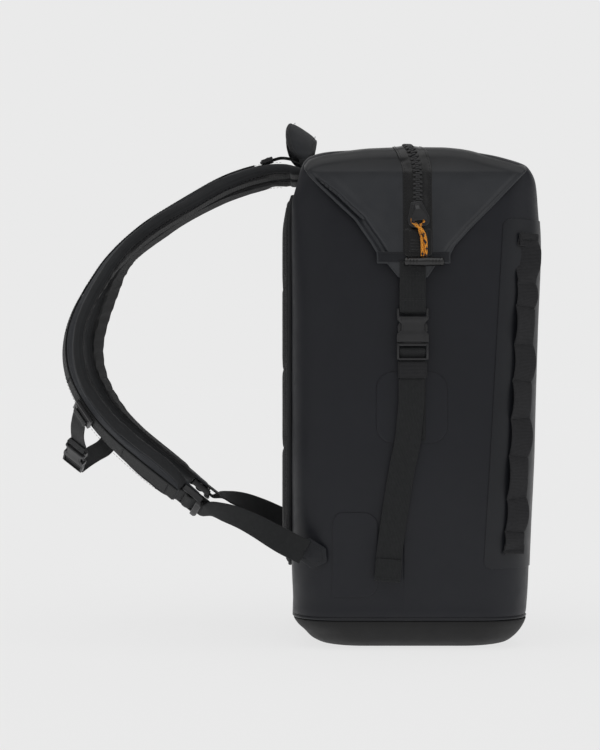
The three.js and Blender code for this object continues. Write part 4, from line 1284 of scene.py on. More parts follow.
def tooth_template():
    """One moulded tooth: body on the tape, narrower neck, rounded head. x across the chain, y along it, z outward."""
    V, F = [], []
    prof = [(-3.4, 0.62, 0.75, 0.9), (-3.0, 1.28, 0.0, 2.2), (-1.9, 1.36, 0.0, 2.75), (-0.9, 0.86, 0.15, 2.7), (0.0, 0.92, 0.2, 2.7), (0.8, 1.25, 0.15, 2.72), (1.5, 1.3, 0.25, 2.6), (2.0, 0.95, 0.5, 2.3), (2.2, 0.45, 0.9, 1.9)]
    K = 10
    for x, hw, z0, z1 in prof:
        zc, hz = (z0 + z1) / 2, (z1 - z0) / 2
        for k in range(K):
            a = 2 * math.pi * (k + 0.5) / K
            c, s = math.cos(a), math.sin(a)
            V.append((x, hw * math.copysign(abs(c) ** 0.55, c), zc + hz * math.copysign(abs(s) ** 0.55, s)))
    for j in range(len(prof) - 1):
        for k in range(K):
            F.append((j * K + k, j * K + (k + 1) % K, (j + 1) * K + (k + 1) % K, (j + 1) * K + k))
    F.append(tuple(range(K - 1, -1, -1)))
    F.append(tuple((len(prof) - 1) * K + k for k in range(K)))
    return A(V), F


def teeth(name, side, s0, s1, shift):
    TV, TF = tooth_template()
    V, F = [], []
    pitch = 4.4
    s = s0 + shift
    while s < s1:
        p, t, x, n = at_len(s)
        base = len(V)
        for a, b, c in TV:
            V.append(p + x * (-side * (a * 1.5 if a < 0 else a * 1.08)) + t * b * 0.92 + n * (c * 0.9 + 0.85))
        F += [tuple(i + base for i in f) for f in TF]
        s += pitch
    return mesh(name, V, F, M_TEETH)


s_slider = s_of_z(427)
for side, tag in ((-1, "back"), (1, "front")):
    o = teeth(f"zip_teeth_{tag}_row", side, s_slider + 13.0, s_of_z(389, False), 0 if side < 0 else 2.2)
    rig.ride(o, "bag")
    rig.replaces(o, f"zipper_teeth_{tag}")
    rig.slot(o, "zip_teeth")


def on_zip(s0):
    p0, t0, x0, n0 = at_len(s0)
    return lambda q: p0 + np.outer(q[:, 0], x0) + np.outer(q[:, 1], n0) + np.outer(q[:, 2], t0)


# two lines of stitching along each outer edge of the tape
lines = []
for u in (-12.4, 12.4):
    s = np.arange(S_NEAR + 4, S_FAR - 4, 3.0)
    P = A([at_len(q)[0] + at_len(q)[2] * u + at_len(q)[3] * 0.72 for q in s])
    N = A([at_len(q)[3] for q in s])
    lines.append((P, N))
o = dashes("zip_tape_stitching", lines, M_THREAD, 2.4, 1.1, 0.17, 0.05)
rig.ride(o, "bag")
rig.slot(o, "zip_rubber")

# garage: rubber block that the slider parks against
g = plate("zip_garage_block", rrect(-13.5, 13.5, -14, 14, [3, 3, 4, 4]), 0.8, 3.0, M_TAPE, bev=0.8)
g2 = plate("gr", rrect(-9.5, 9.5, -10, 12.5, 3), 2.6, 3.7, M_TAPE, bev=0.5)
g3 = [bar(f"gb{k}", -7.5, 7.5, 3.2, 4.1, -8 + 3.2 * k, -6.7 + 3.2 * k, M_TAPE, 0.4) for k in range(4)]
garage = join("zip_garage_block", [g, g2, *g3])
sg = s_of_z(399.6)
remap(garage, on_zip(sg))
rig.ride(garage, "bag")
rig.replaces(garage, "zipper_garage")
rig.slot(garage, "zip_rubber")

# slider: shield-shaped body with a raised bridge, in the CAD's own axes (a right, b outward, c up the chain)
SL_U = unit(A([-0.13, 10.5 / 87, 1]))
SL_N = unit(A([0, -1, 10.5 / 87]))
SL_R = unit(A([1.0, 0, 0]) - SL_U[0] * SL_U)
SL_O = A([5, -float(wing_y(427)), 427])
to_slider = lambda q: SL_O + np.outer(q[:, 0], SL_R) + np.outer(q[:, 1], SL_N) + np.outer(q[:, 2], SL_U)
shield = rounded([(-5.5, 12.6), (5.5, 12.6), (7.6, 6), (10.9, -4), (10.2, -9.5), (6.2, -12.6), (-6.2, -12.6), (-10.2, -9.5), (-10.9, -4), (-7.6, 6)], [1.5, 1.5, 4, 4, 3, 3, 3, 3, 4, 4])
inner = rounded([(-4.4, 10.8), (4.4, 10.8), (6.0, 5), (8.7, -3.6), (8.2, -8.2), (5, -10.6), (-5, -10.6), (-8.2, -8.2), (-8.7, -3.6), (-6.0, 5)], [1.2, 1.2, 3, 3, 2, 2, 2, 2, 3, 3])
sb = plate("zs", shield, 3.0, 5.7, M_PLASTIC, bev=0.9)
st = plate("zs2", inner, 5.0, 6.6, M_PLASTIC, bev=0.7)
# bridge as an arched bar over the cord
prof = A([(9.4, 5.6), (8.6, 7.6), (6.4, 9.6), (3.4, 11.0), (0.4, 11.4), (-3.0, 11.35), (-5.6, 11.1), (-6.75, 10.3), (-6.9, 8.8), (-6.9, 6.2)])
Pb = np.c_[np.zeros(len(prof)), prof[:, 1], prof[:, 0]]
br = strip("zs3", Pb, A([1.0, 0, 0]), 2.3, 0.55, M_PLASTIC, step=0.6, n=5)
hood = plate("zs5", rounded([(-2.6, 4.0), (2.6, 4.0), (7.6, -3.6), (7.8, -7.4), (-7.8, -7.4), (-7.6, -3.6)], [1.5, 1.5, 2.5, 1.2, 1.2, 2.5]), 11.5, 12.5, M_PLASTIC, bev=0.45)
nose = plate("zs4", rounded([(-2.4, 9.8), (2.4, 9.8), (3.0, 5.5), (2.4, 1.6), (-2.4, 1.6), (-3.0, 5.5)], 0.8), 6.2, 7.4, M_PLASTIC, bev=0.5)
slider = join("zip_slider_body", [sb, st, br, nose, hood])
remap(slider, to_slider)
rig.ride(slider, "zip_slider")
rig.replaces(slider, "zipper_slider")
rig.slot(slider, "moulded_plastic")


# T-bar toggle: turned bar with a grip waist, end beads and a raised ridge
def toggle():
    c = A([10.4, -172.3, 381])
    prof = [(-19.5, 2.2), (-19.3, 3.3), (-18.6, 4.2), (-17.3, 4.5), (-16.2, 4.5), (-15.6, 4.0), (-15.0, 3.95), (-13, 4.05), (-8, 4.2), (-4, 4.35), (-3.4, 4.6), (3.4, 4.6), (4, 4.35), (8, 4.2), (13, 4.05), (15.0, 3.95), (15.6, 4.0), (16.2, 4.5), (17.3, 4.5), (18.6, 4.2), (19.3, 3.3), (19.5, 2.2)]
    K = 28
    R = []
    for x, r in prof:
        a = np.linspace(0, 2 * math.pi, K, endpoint=False)
        rr = r * (1 - 0.06 * np.abs(np.sin(2 * a)))
        R.append(np.c_[np.full(K, x), -rr * np.cos(a), rr * np.sin(a)] + c)
    V, F = loops(A(R))
    o1 = mesh("tg", V, F, M_TOGGLE, sharp=50)
    ribs = [bar(f"tr{k}", c[0] - 17 + 3.1 * k, c[0] - 15.9 + 3.1 * k, c[1] - 4.45, c[1] - 3.2, c[2] - 2.0, c[2] + 2.0, M_TOGGLE, 0.35) for k in (1, 2, 3, 8, 9, 10)]
    return join("zip_pull_t_bar", [o1, *ribs])


tog = toggle()
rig.ride(tog, "zip_pull")
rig.replaces(tog, "zip_toggle")
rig.slot(tog, "moulded_plastic")

# hem strip across the lower end of each wing, its stitching, and the tab that the webbing hangs from
for s, tag in ((-1, "near"), (1, "far")):
    def wingp(x, z, off):
        y = wing_y(z)
        low = 1 - smooth((z - 430) / 40)
        y = y + low * (1.8 * smooth((-x - 22) / 30) - 3.6 * smooth((x - 22) / 34))
        return np.stack([x, s * (y + off), z * np.ones_like(x)], -1)

    rows, lay = [], []
    for z in np.r_[381.2, np.linspace(382, 390.2, 6), 390.9]:
        x = np.linspace(-33.0 - (0.3 if z > 390 else 0), 35.2, 40)
        rows.append(wingp(x, z, 0.75))
        lay.append(np.c_[x, np.full(40, z), np.zeros(40)])
    hem = slab(f"{tag}_wing_hem", rows, 0.8, M_PATCH, A(lay), up=lambda p: p * A([0, 1, 0]))
    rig.ride(hem, "bag")
    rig.slot(hem, "weld_patch")
    # the tab takes the lighter copy of the coated fabric, which is painted light
    tab = plate(f"{tag}_wing_tab_piece", rounded([(-27, 383.5), (25, 383.5), (24, 380.6), (14.2, 366), (-14.0, 366), (-26, 380.6)], [1, 1, 2, 2, 2, 2]), -164.3, -162.1, M_WING, bev=0.7)
    if s > 0:
        remap(tab, lambda q: q * A([1, -1, 1]))
        flip_normals(tab)
    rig.ride(tab, "bag")
    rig.replaces(tab, f"{tag}_wing_tab")
    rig.slot(tab, "coated_fabric")
    yy = s * 164.45
    L = [([(-31, s * 164.9, 389.4), (33, s * 164.7, 389.4)], (0, s, 0)), ([(-31, s * 165.6, 383.0), (33, s * 165.3, 383.0)], (0, s, 0)),
         ([(-24.4, yy, 380.2), (-12.9, yy, 367.6)], (0, s, 0)), ([(22.6, yy, 380.2), (13.0, yy, 367.6)], (0, s, 0)),
         ([(-12, yy, 367.4), (12, yy, 367.4)], (0, s, 0))]
    stc = dashes(f"{tag}_wing_stitching", [(A(p), A(n, )) for p, n in L], M_THREAD, 2.3, 1.0, 0.2, 0.05)
    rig.ride(stc, "bag")
    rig.slot(stc, "coated_fabric")

# =====================================================================  side straps and their buckles
BX, BY, BZ = -0.2, 162.4, 285.6


def socket_parts(k=""):
    half = [(15.6, 17.2), (15.6, 24.2), (14.9, 25.8), (11.6, 28.4), (11.2, 29.6), (11.2, 34.6), (11.6, 35.8), (14.7, 38.9), (15.4, 40.4), (15.4, 42.3)]
    out = rounded([*half, *[(-x, z) for x, z in reversed(half)]], [0.5, 1, 1, 1, 1, 1, 1, 1, 1, 0.5, 0.5, 1, 1, 1, 1, 1, 1, 1, 1, 0.5], 3)
    pan = rounded([(11.6, 18.6), (11.6, 25.2), (9.0, 28.2), (9.0, 36.0), (11.4, 38.6), (11.4, 41.0), (-11.4, 41.0), (-11.4, 38.6), (-9.0, 36.0), (-9.0, 28.2), (-11.6, 25.2), (-11.6, 18.6)], 1.2, 3)
    ob = [plate("s1", out, -4.6, -2.5, M_PLASTIC, bev=0.75), plate("s2", out, 2.5, 4.5, M_PLASTIC, bev=0.75)]
    ob.append(plate("s3", pan, -5.0, -4.2, M_PLASTIC, bev=0.35))
    ob.append(bar("s4", -13, 13, -2.7, 2.7, 38.4, 42.2, M_PLASTIC, 0.5))
    for sx in (-1, 1):
        lo_, hi_ = sorted((sx * 14.35, sx * 15.5))
        ob.append(bar("s5", lo_, hi_, -3.4, 3.4, 17.4, 24.6, M_PLASTIC, 0.4))
        lo_, hi_ = sorted((sx * 13.0, sx * 15.5))
        ob.append(bar("s6", lo_, hi_, -4.2, 3.4, 39.4, 44.6, M_PLASTIC, 0.7))
        ob.append(bar("s7", lo_, hi_, -2.9, 2.9, 43.6, 50.4, M_PLASTIC, 1.1))
    P = A([[x, 0, 49.1] for x in np.linspace(-14.6, 14.6, 30)])
    ob.append(tube("s8", P, 1.35, M_PLASTIC, 12))
    return ob


def plug_parts():
    outer = rounded([(-15.5, 0.6), (-14.6, 0), (14.6, 0), (15.5, 0.6), (15.5, 16.6), (-15.5, 16.6)], [0.8, 0.8, 0.8, 0.8, 0.6, 0.6], 4)
    ob = []
    for sx in (-1, 1):
        lo_, hi_ = sorted((sx * 13.05, sx * 15.5))
        ob.append(bar("p1", lo_, hi_, -3.3, 3.0, 0.4, 16.6, M_PLASTIC, 0.8))
    ob.append(bar("p2", -13.6, 13.6, -3.2, -0.2, 0.0, 1.85, M_PLASTIC, 0.55))
    ob.append(bar("p2b", -13.6, 13.6, -1.6, 2.4, 0.05, 1.2, M_PLASTIC, 0.4))
    ob.append(tube("p3", A([[x, -0.1, 8.2] for x in np.linspace(-13.5, 13.5, 20)]), 1.42, M_PLASTIC, 12))
    ob.append(bar("p4", -13.6, 13.6, -3.1, 3.0, 13.7, 16.5, M_PLASTIC, 0.7))
    ob.append(bar("p5", -2.0, 2.0, -1.5, 1.5, 16, 34, M_PLASTIC, 0.6))
    ob.append(bar("p6", -8.5, 8.5, -1.3, 1.3, 16, 18.2, M_PLASTIC, 0.5))
    return ob


def arm_parts():
    pts = rounded([(9.0, 17), (11.9, 17), (12.7, 24.5), (14.1, 27.6), (14.35, 29.4), (14.35, 33.0), (13.6, 35.6), (12.2, 37), (11.0, 36.6), (10.6, 30), (9.6, 23)], [0.4, 0.4, 3, 2, 2, 2, 2, 1, 1, 3, 3], 4)
    ob = [plate("a1", pts, -2.0, 2.0, M_PLASTIC, bev=0.5)]
    for k in range(4):
        ob.append(bar("a2", 13.9, 14.75, -1.5, 1.5, 28.9 + 1.35 * k, 29.5 + 1.35 * k, M_PLASTIC, 0.2))
    return ob


def place(obs, name, fn, body, node, slot="moulded_plastic", flip=False):
    o = join(name, obs)
    remap(o, fn)
    if flip:
        flip_normals(o)
    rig.ride(o, body)
    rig.replaces(o, node)
    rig.slot(o, slot)
    return o


def buckle(tag, fn, bodies, nodes, flip):
    place(socket_parts(), f"{tag}_buckle_socket_shell", fn, bodies[0], nodes[0], flip=flip)
    place(plug_parts(), f"{tag}_buckle_plug_frame", fn, bodies[1], nodes[1], flip=flip)
    place(arm_parts(), f"{tag}_buckle_front_arm", fn, bodies[2], nodes[2], flip=flip)
    place(arm_parts(), f"{tag}_buckle_back_arm", lambda q: fn(q * A([-1, 1, 1])), bodies[3], nodes[3], flip=not flip)


def web(name, pts, x0, a, b, body, node, s, mat=None, step=1.2, curve=True, wave=0.0, ride=True, crown=0.0, n=11):
    P = A([[x0 + (q[2] if len(q) > 2 else 0), s * q[0], q[1]] for q in pts])
    o = strip(name, P, A([1.0, 0, 0]), a, b, mat or M_WEB, step=step, curve=curve, wave=wave, crown=crown, n=n)
    if ride:
        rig.ride(o, body)
    if node:
        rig.replaces(o, node)
    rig.slot(o, "webbing")
    return o


UPPER = [(165.4, 381.5), (165.5, 378), (165.4, 366), (165.1, 352), (165.2, 340), (165.0, 335.6), (164.2, 332.9), (162.6, 331.9), (160.8, 332.7), (159.8, 335.2), (159.8, 342), (160.0, 352), (160.4, 362)]
ANCHOR = [(160.9, 267.6), (160.9, 280), (161.0, 285.0), (161.7, 288.6), (163.4, 291.2), (164.6, 293.2), (164.6, 295.4), (163.3, 296.8), (161.4, 296.6), (160.0, 294.8), (159.2, 290), (158.9, 283), (158.6, 268), (158.0, 250), (157.7, 230), (157.6, 209)]
TAIL = [(160.9, 266.6, -0.9), (161.2, 256, -0.9), (161.4, 244, -1.2), (161.0, 225, -2.8), (160.7, 205, -5), (159.6, 180, -10), (158.2, 149, -15.1), (157.0, 110, -20.7), (156.6, 92, -22.8), (156.3, 80, -23.6), (156.0, 69.5, -24.6)]
for s, tag in ((-1, "near"), (1, "far")):
    fn = (lambda q: np.c_[BX + q[:, 0], -BY + q[:, 1], BZ + q[:, 2]]) if s < 0 else (lambda q: np.c_[BX + q[:, 0], BY - q[:, 1], BZ + q[:, 2]])
    buckle(tag, fn, ("bag", f"{tag}_plug", f"{tag}_arm_front", f"{tag}_arm_back"),
           (f"{tag}_buckle_socket", f"{tag}_buckle_plug", f"{tag}_buckle_arm_front", f"{tag}_buckle_arm_back"), s > 0)
    web(f"{tag}_upper_strap", UPPER, BX, 12.7, 0.8, "bag", f"{tag}_upper_webbing", s)
    an = web(f"{tag}_anchor_strap", ANCHOR, BX, 12.6, 0.75, None, f"{tag}_anchor_webbing", s, ride=False)
    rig.blend(an, "bag", f"{tag}_plug", (-0.0002, s * 0.1576, 0.212), (-0.0002, s * 0.159, 0.262))
    # elastic keeper: a soft ribbed loop round both layers
    kp = []
    for zc in (276.2,):
        ang = np.linspace(0, 2 * math.pi, 61)[:-1]
        R, lay = [], []
        for z in np.r_[268.2, 268.5, np.linspace(269.4, 283.2, 20), 284.0, 284.3]:
            e = 0.35 * (1 if z in (268.2, 284.3) else 0)
            sec = section(14.25 - e, 3.1 - e, 15, 0.03, 7)
            rib = 0.10 * math.sin(z * 2 * math.pi / 1.6)
            sec = sec * (1 + rib / 14)
            R.append(np.c_[BX + sec[:, 0], s * (160.0 + sec[:, 1]) , np.full(len(sec), z)])
            lay.append(np.c_[sec[:, 0], np.full(len(sec), z), np.zeros(len(sec))])
        inner, il = [], []
        for z in (284.3, 268.2):
            sec = section(13.0, 1.95, 15, 0, 7)
            inner.append(np.c_[BX + sec[:, 0], s * (160.0 + sec[:, 1]), np.full(len(sec), z)])
            il.append(np.c_[sec[:, 0], np.full(len(sec), z), np.zeros(len(sec))])
        rows = A(R + inner + [R[0]])
        V = rows.reshape(-1, 3)
        F = [tuple(f) for f in grid_faces(len(rows), rows.shape[1])]
        kp.append(mesh(f"{tag}_keeper_loop", V, F, M_WEBR, lay=np.vstack(lay + il + [lay[0]]) * MM))
    k = kp[0]
    bm = bmesh.new()
    bm.from_mesh(k.data)
    bmesh.ops.remove_doubles(bm, verts=bm.verts, dist=1e-6)
    bmesh.ops.recalc_face_normals(bm, faces=bm.faces)
    bm.to_mesh(k.data)
    bm.free()
    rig.ride(k, f"{tag}_plug")
    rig.replaces(k, f"{tag}_webbing_keeper")
    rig.slot(k, "webbing")
    tl = [web("t1", TAIL, BX, 12.7, 0.78, None, None, s, ride=False)]
    hem = [(q[0] + 1.55 - (0.2 if q[1] < 75 else 0), q[1], q[2]) for q in [(156.55, 90.5, -22.9), (156.4, 80, -23.6), (156.0, 69.8, -24.6)]]
    tl.append(web("t2", hem, BX, 12.6, 0.72, None, None, s, ride=False))
    xx = lambda z: float(np.interp(-z, [-266.6, -205, -180, -149, -110, -69.5], [-0.9, -5, -10, -15.1, -20.7, -24.6])) + BX
    L = []
    for zz in (72.2, 88.0):
        L.append((A([[xx(zz) - 11, s * 158.35, zz + 0.9], [xx(zz) + 11, s * 158.35, zz - 0.9]]), A([0, s, 0])))
    tl.append(dashes("t3", L, M_THREAD, 2.2, 0.9, 0.22, 0.08))
    tl = join(f"{tag}_strap_tail", tl)
    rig.ride(tl, f"{tag}_tail")
    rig.replaces(tl, f"{tag}_tail_webbing")
    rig.slot(tl, "webbing")
    # stitching: the strap's ends at the wing, at the loops and where it is tacked to the weld patch
    L = []
    for zz in (379.6, 377.2, 370.4, 368.2):
        L.append((A([[BX - 11.2, s * 166.25, zz], [BX + 11.2, s * 166.25, zz]]), A([0, s, 0])))
    L += [(A([[BX - 11.2, s * 166.25, 379.6], [BX + 11.2, s * 166.25, 368.2]]), A([0, s, 0])), (A([[BX + 11.2, s * 166.25, 379.6], [BX - 11.2, s * 166.25, 368.2]]), A([0, s, 0]))]
    for zz in (343.5, 345.4):
        L.append((A([[BX - 11.4, s * 165.98, zz], [BX + 11.4, s * 165.98, zz]]), A([0, s, 0])))
    o = dashes(f"{tag}_strap_stitching", L, M_THREAD, 2.2, 0.9, 0.2, 0.05)
    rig.ride(o, "bag")
    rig.slot(o, "webbing")
    # short anchor strip welded down beside the strap, and its box stitch
    a2 = web(f"{tag}_anchor_base", [(156.9, 262, 0), (157.0, 240, 0), (157.0, 207.5, 0)], BX, 13.0, 0.6, "bag", None, s, step=3)
    o = dashes(f"{tag}_anchor_stitching", [(A([[BX - 11, s * 158.5, z], [BX + 11, s * 158.5, z]]), A([0, s, 0])) for z in (210, 212, 222, 224)], M_THREAD, 2.2, 0.9, 0.2, 0.05)
    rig.ride(o, "bag")
    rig.slot(o, "webbing")

# =====================================================================  daisy chains
TACKS = [407, 360, 338, 301, 265, 228, 191, 150, 117, 98]


def corner_frame(s, ang, z):
    n = np.array([math.sin(ang), s * math.cos(ang), 0])
    w = np.array([math.cos(ang), -s * math.sin(ang), 0])
    return n, w


def corner_pt(s, z, ang, off):
    xb, xf, yw, r = (float(v) for v in level_at(z))
    l = xf - r + r * ang
    p, n = wall(s, np.array([l]), np.array([float(z)]), off)
    return p[0]


for s, tag in ((-1, "near"), (1, "far")):
    P, W, N = [], [], []
    for i in range(len(TACKS) - 1):
        z0, z1 = TACKS[i], TACKS[i + 1]
        m = max(10, int(abs(z1 - z0) / 1.4))
        for q in range(m):
            u = q / m
            z = z0 + (z1 - z0) * u
            ang = math.radians(34.5 + (z - 98) / 309 * 5.5)
            n, w = corner_frame(s, ang, z)
            big = i == 0
            b = math.sin(math.pi * u) ** 0.75
            h = 1.75 + b * (2.8 if big else (2.4 if i in (1, 8) else 3.6))
            tw = 0.0
            side = 0.0
            if big:
                tw = math.radians(40) * smooth(u / 0.38) * (1 - smooth((u - 0.5) / 0.42))
                side = -1.8 * math.sin(math.pi * u)
            else:
                side = (0.9 if i % 2 else -0.9) * b * (0.6 if i in (1, 8) else 1)
                tw = math.radians(7 if i % 2 else -5) * b
            p = corner_pt(s, z, ang, h) + w * side
            w2 = w * math.cos(tw) + n * math.sin(tw)
            P.append(p)
            W.append(w2)
    zl = TACKS[-1]
    ang = math.radians(34.5)
    n, w = corner_frame(s, ang, zl)
    P.append(corner_pt(s, zl, ang, 1.75))
    W.append(w)
    P, W = A(P), A(W)
    # keep thickness where the band turns sharply at the tacks
    ch = strip(f"{tag}_daisy_band", P, W, 12.6, 0.8, M_WEBR, step=1.1, curve=False, n=11)
    parts = [ch]
    # folded ends
    for z0, z1 in ((409.5, 398), (103.5, 95.5)):
        PP, WW = [], []
        for z in np.linspace(z0, z1, 6):
            ang = math.radians(34.5 + (z - 98) / 309 * 5.5)
            n, w = corner_frame(s, ang, z)
            PP.append(corner_pt(s, z, ang, 3.1))
            WW.append(w)
        parts.append(strip("fe", A(PP), A(WW), 12.8, 0.8, M_WEBR, step=1.1, curve=False, n=11))
    L = []
    for i, z in enumerate(TACKS):
        ang = math.radians(34.5 + (z - 98) / 309 * 5.5)
        n, w = corner_frame(s, ang, z)
        lift = 4.1 if i in (0, len(TACKS) - 1) else 2.75
        if i == 0:
            z -= 4
        c = corner_pt(s, z, ang, lift)
        L += bartack(c, w, A([0, 0, 1.0]), n, 22.0, 18, 2.6)
    parts.append(dashes("dt", L, M_THREAD, 2.4, 0.2, 0.2, 0.05))
    o = join(f"{tag}_daisy_band", parts)
    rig.ride(o, "bag")
    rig.replaces(o, f"{tag}_daisy_chain")
    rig.slot(o, "webbing")

# =====================================================================  cloth: a closed soft form is blown up a little and settles
from mathutils import kdtree as _kd


def puff(src, voxel=5.0, pressure=4.0, frames=20, cap=4.0, pinned=None, bend=0.5, tension=12.0, shrink=0.0):
    """Simulates a voxel copy of src and returns its rest points and how far each moved (mm)."""
    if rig.quick():
        return None
    sc = bpy.context.scene
    ob = src.copy()
    ob.data = src.data.copy()
    link(ob)
    rm = ob.modifiers.new("voxels", "REMESH")
    rm.mode = "VOXEL"
    rm.voxel_size = voxel * MM
    bpy.context.view_layer.update()
    me = bpy.data.meshes.new_from_object(ob.evaluated_get(bpy.context.evaluated_depsgraph_get()))
    ob.modifiers.clear()
    ob.data = me
    n = len(me.vertices)
    pre = np.zeros(n * 3)
    me.vertices.foreach_get("co", pre)
    pre = pre.reshape(-1, 3) / MM
    cl = ob.modifiers.new("cloth", "CLOTH")
    s = cl.settings
    s.quality = 5
    s.mass = 0.25
    s.tension_stiffness = tension
    s.compression_stiffness = tension
    s.shear_stiffness = tension * 0.5
    s.bending_stiffness = bend
    s.tension_damping = s.compression_damping = 8
    s.air_damping = 2.0
    s.use_pressure = True
    s.uniform_pressure_force = pressure
    s.effector_weights.gravity = 0
    if shrink:
        s.shrink_min = shrink
    if pinned is not None:
        vg = ob.vertex_groups.new(name="pin")
        idx = [int(i) for i in np.nonzero(pinned(pre))[0]]
        vg.add(idx, 1.0, "REPLACE")
        s.vertex_group_mass = "pin"
    cl.collision_settings.use_collision = False
    cl.point_cache.frame_start = 1
    cl.point_cache.frame_end = frames
    for f in range(1, frames + 1):
        sc.frame_set(f)
    ev = ob.evaluated_get(bpy.context.evaluated_depsgraph_get())
    post = np.zeros(n * 3)
    ev.to_mesh().vertices.foreach_get("co", post)
    ev.to_mesh_clear()
    post = post.reshape(-1, 3) / MM
    ob.modifiers.clear()
    bpy.data.objects.remove(ob)
    sc.frame_set(1)
    d = post - pre
    m = np.linalg.norm(d, axis=1, keepdims=True)
    d = d * np.minimum(1, cap / np.maximum(m, 1e-6))
    return pre, d


def settle(P, result, k=6):
    """Carries points along with the nearest simulated ones."""
    if result is None:
        return A(P)
    pre, d = result
    t = _kd.KDTree(len(pre))
    for i, p in enumerate(pre):
        t.insert(p, i)
    t.balance()
    P = A(P)
    out = P.copy()
    for i, p in enumerate(P):
        hit = t.find_n(p, k)
        w = np.array([1 / (h[2] ** 2 + 4.0) for h in hit])
        out[i] += (d[[h[1] for h in hit]] * w[:, None]).sum(0) / w.sum()
    return out


# =====================================================================  shoulder pads
PAD_LINE = A([[-112.4, -46, 479.2], [-124.4, -46, 480.7], [-138.9, -46, 480.7], [-155.3, -47, 477.5], [-173.8, -48, 472.3], [-192.3, -49, 465.5],
    [-214.9, -50, 454.6], [-235.4, -51, 442.7], [-253.8, -53, 429.2], [-274.1, -56, 412.1], [-290.2, -60, 396.9], [-304, -66, 380.8], [-314.6, -73, 364.6],
    [-324, -80, 348.1], [-331.9, -87, 330.6], [-336.8, -93, 313.3], [-338.3, -98, 294.1], [-334.9, -102, 273], [-324.5, -105, 249.9], [-309.7, -108, 228],
    [-291.9, -111, 209], [-273.7, -114, 193.1], [-255.5, -117, 178.3], [-239.4, -119, 165.5], [-228.4, -120, 156.6]])
LOOP = A([-170.0, 0, 300])


def strap_dirs(p, t, phi):
    wb = unit(A([0, 1.0, 0]) - t * t[1])
    n0 = unit(np.cross(wb, t))
    q = p - LOOP
    q[1] = 0
    if n0 @ q < 0:
        n0 = -n0
    return wb * math.cos(phi) + n0 * math.sin(phi), n0 * math.cos(phi) - wb * math.sin(phi)


PP, PSS = resample(catmull(PAD_LINE, 2400), 1.0)
PT = unit(np.gradient(PP, axis=0))
FAR_TWIST = 0.0
SETS = {}
for key, degrees in (("near", [0, 2, 10, 20, 25, 30]), ("far", [0, 2, 7, 3, 0, 0])):
    PWN = [strap_dirs(p.copy(), t, math.radians(float(np.interp(-p[2], [-500, -400, -315, -246, -204, -156], degrees)))) for p, t in zip(PP, PT)]
    SETS[key] = (A([q[0] for q in PWN]), A([q[1] for q in PWN]))
SIDE = "near"
PAD_LEN = float(PSS[-1])


# how far each strap lies outside (+) or inside (-) the shared centre line, as bumps of (side, amount, height, spread)
SAG = (("near", -4.0, 447.0, 22.0), ("far", 7.0, 388.0, 38.0))


def pad_at(s):
    s = float(np.clip(s, 0, PAD_LEN))
    f = lambda M: np.array([np.interp(s, PSS, M[:, k]) for k in range(3)])
    t = unit(f(PT))
    PW, PN = SETS[SIDE]
    w = f(PW)
    w = unit(w - (w @ t) * t)
    n = np.cross(w, t)
    if n @ f(PN) < 0:
        n = -n
    p = f(PP)
    out = sum(a * math.exp(-((p[2] - z) / d) ** 2) for side, a, z, d in SAG if side == SIDE)
    return p + n * out, t, w, n


def pad_hw(s):
    e = PAD_LEN - s
    if e < 45:
        return 14 + 19.5 * math.sqrt(max(0, 1 - (1 - e / 45) ** 2))
    return 30 + 3.5 * s / 40 if s < 40 else 33.5


QS = [0.0, 0.5, 1.2, 2.2, 3.4, 4.6, 5.7, 6.5, 7.1, 7.6, 8.0, 8.4, 8.9, 9.6, 10.8, 12.8, 15.6, 19.5, 24, 29]


def pad_ring(s, shrink_a=0.0, shrink_b=0.0, detail=True, puffed=1.0):
    """One section: (u, v, zone) with u across and v outward."""
    a = pad_hw(s) - shrink_a
    b = (4 + 3 * s / 12 if s < 12 else 7.0) - shrink_b
    k = a / 33.5
    half = [(a - q * k, q * k) for q in QS] + [(0.0, a)]
    top = []
    for u, q in half:
        v = b * math.sqrt(max(0, 1 - (1 - min(q / (b * 1.05), 1)) ** 2)) * (1 + 0.05 * smooth(q / 25))
        top.append((u, v, q))
    ring = []
    for u, v, q in top:
        ring.append((u, v, q / k, 1))
    for u, v, q in reversed(top[:-1]):
        ring.append((-u, v, q / k, 1))
    for u, v, q in top[1:]:
        ring.append((-u, -v, q / k, -1))
    for u, v, q in reversed(top[1:-1]):
        ring.append((u, -v, q / k, -1))
    return A(ring)


def pad_rows(stations, shrink_a=0.0, shrink_b=0.0):
    rows, info = [], []
    for s in stations:
        p, t, w, n = pad_at(s)
        r = pad_ring(s, shrink_a, shrink_b)
        rows.append(p + np.outer(r[:, 0], w) + np.outer(r[:, 1], n))
        info.append(np.c_[r, np.full(len(r), s)])
    return A(rows), A(info)


